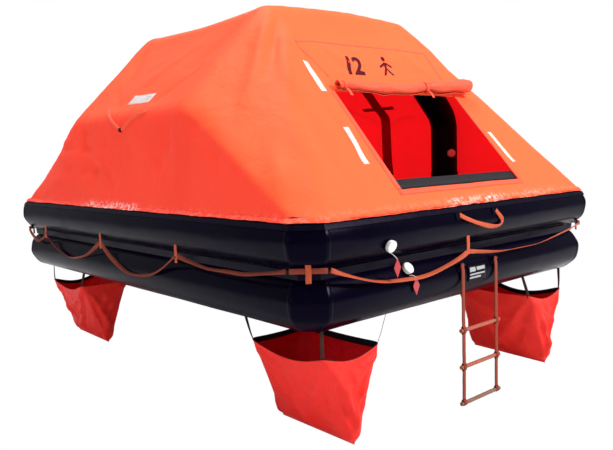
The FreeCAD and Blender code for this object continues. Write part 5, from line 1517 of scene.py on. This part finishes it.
# The runs of each side and the short link round its right corner are one piece, and all tabs another.
def addLifelines():
    tabs = []
    half = hull["lowerHalf"]
    for k, (name, (turned, places, heights, lows)) in enumerate(lineSides.items()):
        distance = (half[1] if turned % 180 == 0 else half[0]) + tubeRadius
        parts = []
        for m, (a0, z0, low, a1, z1) in enumerate(zip(places, heights, lows, places[1:], heights[1:])):
            line, normal = hangingRun(a0, z0, low, a1, z1, distance, k * 5 + m)
            parts.append(ribbon(turnPlan(line, turned), turnPlan(normal, turned), lifeline["width"],
                                lifeline["thickness"]))
        reach = hull["cornerCut"] * math.sqrt(0.5) + tubeRadius * math.tan(math.pi / 8)
        link = np.stack([np.linspace(-reach, reach, 9), np.full(9, -(tubeRadius + lifeline["gap"])),
                         np.full(9, lifeline["cornerZ"])], axis=-1)
        turn = turned + 45
        corner = {45: (1, -1), 135: (1, 1), 225: (-1, 1), 315: (-1, -1)}[turn]
        inset = hull["cornerCut"] / 2
        shift = np.array([corner[0] * (half[0] - inset), corner[1] * (half[1] - inset), 0])
        parts.append(ribbon(turnPlan(link, turn) + shift, np.tile(turnPlan([0, -1.0, 0], turn), (9, 1)),
                            lifeline["width"], lifeline["thickness"]))
        addWebbing("lifeline" + name.capitalize(), parts, fadedWebbing if turned % 180 else orangeWebbing,
                   "lifeline_" + name)
        tabs += [(a, distance, turned, np.zeros(3)) for a in places[1:-1]]
        tabs.append((0.0, tubeRadius, turn, shift))
    parts, count = [], tab["points"]
    for a, distance, turn, shift in tabs:
        z = np.linspace(*tab["z"], count)
        line = np.stack([np.full(count, a) + tab["bow"] * np.sin(z * 90),
                         np.full(count, -distance - tab["off"]), z], axis=-1)
        parts.append(ribbon(turnPlan(line, turn) + shift, np.tile(turnPlan([0, -1.0, 0], turn), (count, 1)),
                            tab["width"], tab["thickness"]))
    addWebbing("lifelineTabs", parts, orangeWebbing, "lifeline_tabs")


addLifelines()
print("lifelines made")

# Boarding handle, label and ladder

handle = {"width": 0.025, "thickness": 0.0024, "off": 0.0058, "stand": 0.010, "lean": 38, "points": 60,
          "route": [(-0.200, 0.463), (-0.150, 0.440), (-0.070, 0.412), (0.030, 0.386), (0.110, 0.374),
                    (0.168, 0.380), (0.172, 0.412), (0.140, 0.440), (0.122, 0.462)]}


# Webbing along a route on the upper tube, standing off and leaning most about its middle.
def addHandle():
    flat = evenLine(softLine([(x, 0, z) for x, z in handle["route"]]), handle["points"])[0]
    dz = flat[:, 2] - hull["upperZ"]
    share = np.linspace(0, 1, handle["points"])
    off = handle["off"] + handle["stand"] * np.sin(share * math.pi) ** 2
    flat[:, 1] = -(hull["upperHalf"][1] + np.sqrt(tubeRadius ** 2 - dz ** 2) + off)
    lean = math.radians(handle["lean"]) * np.sin(share * math.pi) * np.sin(share * 5 + 0.4)
    normal = np.stack([share * 0, -np.cos(lean), dz / tubeRadius + np.sin(lean)], axis=-1)
    addWebbing("boardingHandle", [ribbon(flat, normal, handle["width"], handle["thickness"])], orangeWebbing,
               "boarding_handle")


addHandle()

label = {"x": (-0.095, 0.065), "z": (0.098, 0.183), "lift": 0.0034, "blocks": (
    (0.08, 0.40, 0.58, 0.86), (0.46, 0.92, 0.62, 0.84), (0.08, 0.92, 0.36, 0.46), (0.08, 0.70, 0.14, 0.26))}


# Places on the front face of the lower tube: x along it, height, and how far off its skin.
def onFrontTube(x, z, lift):
    half, centre = hull["lowerHalf"][1], hull["lowerZ"]
    reach = tubeRadius + lift
    return np.stack([x, -(half + np.sqrt(np.maximum(reach ** 2 - (z - centre) ** 2, 0))), z], axis=-1)


# A thin plate that follows the lower tube between two heights.
def tubePlate(name, x0, x1, z0, z1, low, high, material, nodeNames=()):
    x, z = np.meshgrid(np.linspace(x0, x1, 12), np.linspace(z1, z0, 8))
    top, under = onFrontTube(x, z, high), onFrontTube(x, z, low)
    points = np.concatenate([top.reshape(-1, 3), under.reshape(-1, 3)])
    piece = makePiece(name, points, slabFaces(8, 12)[:, ::-1], material,
                      uv=np.tile(np.stack([x, z], -1).reshape(-1, 2), (2, 1)))
    for node in nodeNames:
        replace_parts(piece, node)


# A dark patch with plain pale blocks, placed in shares of its width and height.
def addLabel():
    (x0, x1), (z0, z1), lift = label["x"], label["z"], label["lift"]
    tubePlate("label", x0, x1, z0, z1, 0.0004, lift, patchRubber, ["marking_patch"])
    for k, (u0, u1, v0, v1) in enumerate(label["blocks"]):
        tubePlate("labelBlock%d" % (k + 1), x0 + u0 * (x1 - x0), x0 + u1 * (x1 - x0), z0 + v0 * (z1 - z0),
                  z0 + v1 * (z1 - z0), lift - 0.0002, lift + 0.0005, labelFilm)


addLabel()

rungLow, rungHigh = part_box("ladder_rung_upper")
ladder = {"half": 0.150, "bar": (-1.69786, 0.19731), "eye": 0.0058, "width": 0.025, "thickness": 0.0022,
          "rungs": ["upper", "middle", "lower"], "layer": 0.0014, "cover": 0.0016, "wander": 0.0022,
          "rows": 150, "rungY": middleOf(rungLow.y, rungHigh.y), "rungR": (rungHigh.z - rungLow.z) / 2}


# Height of the middle of a rung.
def rungHeight(name):
    lowBox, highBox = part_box("ladder_rung_" + name)
    return middleOf(lowBox.z, highBox.z)


# Each leg is one webbing doubled: two layers that part round each rung and meet between them.
def addLadderLegs():
    heights = [rungHeight(name) for name in ladder["rungs"]]
    low, apart, (eyeY, eyeZ), eye = heights[-1], ladder["layer"], ladder["bar"], ladder["eye"]
    around = ladder["rungR"] + ladder["cover"]
    for name, sx in (("Left", -1), ("Right", 1)):
        x = sx * ladder["half"]
        z = np.linspace(eyeZ, low, ladder["rows"])
        z = np.unique(np.concatenate([z] + [h + np.linspace(-0.02, 0.02, 15) for h in heights]))[::-1]
        z = z[z >= low]
        part = np.full(len(z), apart)
        for h in heights:
            off = np.abs(z - h)
            bow = np.sqrt(np.maximum(around ** 2 - (z - h) ** 2, 0))
            part = np.maximum(part, np.where(off < around, bow, 0))
            beyond = around * 0.55 * np.exp(-((off - around) / 0.006) ** 2) * (off >= around)
            part = np.maximum(part, apart + beyond)
        wander = ladder["wander"] * waves(z, z * 0, 3.2, 50 + sx) * ease(-z, -0.10, 0.05)
        parts = []
        for layer in (-1, 1):
            top = np.stack([x + wander, ladder["rungY"] + layer * part, z], axis=-1)
            top[:, 1] += (eyeY - ladder["rungY"]) * np.exp(-((z - eyeZ) / 0.02) ** 2) \
                + layer * (eye - apart) * np.exp(-((z - eyeZ) / 0.006) ** 2)
            line = np.concatenate([[[x, eyeY, eyeZ + eye]], top])
            if layer < 0:
                turn = np.linspace(0, math.pi, 9)[1:-1]
                under = np.stack([np.full(7, x), ladder["rungY"] - around * np.cos(turn),
                                  low - around * np.sin(turn)], axis=-1)
                line = np.concatenate([line, under])
            parts.append(ribbon(line, np.tile([0, float(layer), 0.001], (len(line), 1)), ladder["width"],
                                ladder["thickness"]))
        addWebbing("ladderLeg" + name, parts, fadedWebbing, "ladder_strap_" + name.lower(),
                   body="ladder")


addLadderLegs()


# end profile of a rung as the distance from its end and the share of its radius
rungEnd = ((0.0, 0.60), (0.0, 0.86), (0.0015, 0.97), (0.004, 1.0),
           (0.012, 1.0), (0.0135, 0.93), (0.016, 0.93))


# A rung: a tube in a webbing sleeve, its profile turned about X, with rounded bare ends.
def addRungs():
    for name, material in zip(ladder["rungs"], (rungSleeve, rungSleeve, rungWorn)):
        lowBox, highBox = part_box("ladder_rung_" + name)
        y, z, r = middleOf(lowBox.y, highBox.y), rungHeight(name), (highBox.z - lowBox.z) / 2
        half = highBox.x
        left = [(-half + d, r * k) for d, k in rungEnd]
        left += [(-half + d, r * (0.955 + 0.035 * math.sin(d * 90) * math.exp(-d * 4)))
                 for d in np.linspace(0.017, half - 0.004, 26)]
        rows = np.array(left + [(-x, rr) for x, rr in reversed(left)])
        turn = np.linspace(0, 2 * math.pi, 32, endpoint=False)
        xs, radii = rows[:, :1] + 0 * turn, rows[:, 1:]
        p = np.stack([xs, y + radii * np.cos(turn), z + radii * np.sin(turn)], axis=-1)
        faces = [list(q)[::-1] for q in gridQuads(len(rows), 32, wrapCols=True)]
        faces += [list(range(32)), list(range((len(rows) - 1) * 32, len(rows) * 32))[::-1]]
        uv = np.stack([xs, 0 * xs + turn * r], axis=-1)
        piece = makePiece("rung" + name.capitalize(), p, faces, material, body="ladder",
                          uv=uv)
        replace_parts(piece, "ladder_rung_" + name)


addRungs()
dressNodes(greyPlastic, "valve_plastic", "valve_bodies")
dressNodes(whitePlastic, "valve_plastic", "inflation_valve_cap", "relief_valve_cap", "arch_valve_cap")
dressNodes(sealRubber, "valve_seal", "inflation_valve_disc", "relief_valve_disc", "arch_valve_disc")
dressNodes(greyPaint, "cylinder_paint", "gas_cylinder")
dressNodes(brass, "valve_brass", "gas_cylinder_head")
dressNodes(blackWebbing, "hem_webbing", "gas_cylinder_straps", "gas_cylinder_sleeve")
print("webbing and ladder made")

# Lights and backdrop

studio = {"floor": -0.60, "reach": 30.0, "world": 0.45, "skylight": (0.93, 0.95, 1.0), "lights": [
    ("key", (2.8, -6.5, 5.4), (0, -0.6, 0.7), 760, (2.6, 2.0), (1.0, 0.98, 0.95)),
    ("top", (-0.8, 0.4, 6.8), (0, 0, 0.8), 440, (3.5, 3.5), (1, 1, 1)),
    ("fill", (-7.0, -1.0, 2.2), (0, 0, 0.6), 70, (4.0, 3.0), (0.97, 0.98, 1.0)),
    ("back", (5.0, 5.5, 3.8), (0, 0, 0.8), 220, (4.0, 3.0), (1, 1, 1))]}


# A soft oblong lamp turned so that it looks at its aim.
def addLight(name, place, aim, power, size, colour):
    data = bpy.data.lights.new(name, "AREA")
    data.energy = power
    data.color = colour
    data.shape = "RECTANGLE"
    data.size, data.size_y = size
    obj = bpy.data.objects.new(name, data)
    bpy.context.scene.collection.objects.link(obj)
    obj.location = place
    obj.rotation_euler = (Vector(aim) - Vector(place)).to_track_quat("-Z", "Y").to_euler()


# A shader that the camera sees as white and the light meets as it is.
def whiteToCamera(tree, plain, white, output):
    path = addNode(tree, "ShaderNodeLightPath")
    mix = addNode(tree, "ShaderNodeMixShader")
    sockets = (path.outputs["Is Camera Ray"], plain.outputs[0], white.outputs[0])
    for socket, target in zip(sockets, mix.inputs):
        tree.links.new(socket, target)
    tree.links.new(mix.outputs[0], output.inputs[0])


# The lamps, a wide pale floor under the pockets, and a soft world.
def addStudio():
    for settings in studio["lights"]:
        addLight(*settings)
    material, tree, output = newMaterial("paleFloor")
    link = tree.links.new
    skin = addNode(tree, "ShaderNodeBsdfPrincipled", Roughness=0.9)
    place = addNode(tree, "ShaderNodeTexCoord")
    cloud = addNode(tree, "ShaderNodeTexNoise", Scale=1.5, Detail=3.0)
    link(place.outputs["Object"], cloud.inputs["Vector"])
    link(mixColour(tree, cloud.outputs[0], (0.86, 0.86, 0.86), (0.90, 0.90, 0.90)), skin.inputs["Base Color"])
    white = addNode(tree, "ShaderNodeEmission", Strength=1.0)
    white.inputs["Color"].default_value = (1, 1, 1, 1)
    whiteToCamera(tree, skin, white, output)
    r, z = studio["reach"], studio["floor"]
    corners = [(-r, -r, z), (r, -r, z), (r, r, z), (-r, r, z)]
    floor = makePiece("studioFloor", corners, [(0, 1, 2, 3)], material)
    floor.parent = None
    world = bpy.data.worlds.new("studio")
    bpy.context.scene.world = world
    world.use_nodes = True
    tree = world.node_tree
    tree.nodes.clear()
    output = tree.nodes.new("ShaderNodeOutputWorld")
    soft = addNode(tree, "ShaderNodeBackground", Strength=studio["world"])
    soft.inputs["Color"].default_value = (*studio["skylight"], 1)
    bright = addNode(tree, "ShaderNodeBackground", Strength=1.0)
    bright.inputs["Color"].default_value = (1, 1, 1, 1)
    whiteToCamera(tree, soft, bright, output)
    bpy.context.scene.view_settings.view_transform = "Standard"


addStudio()
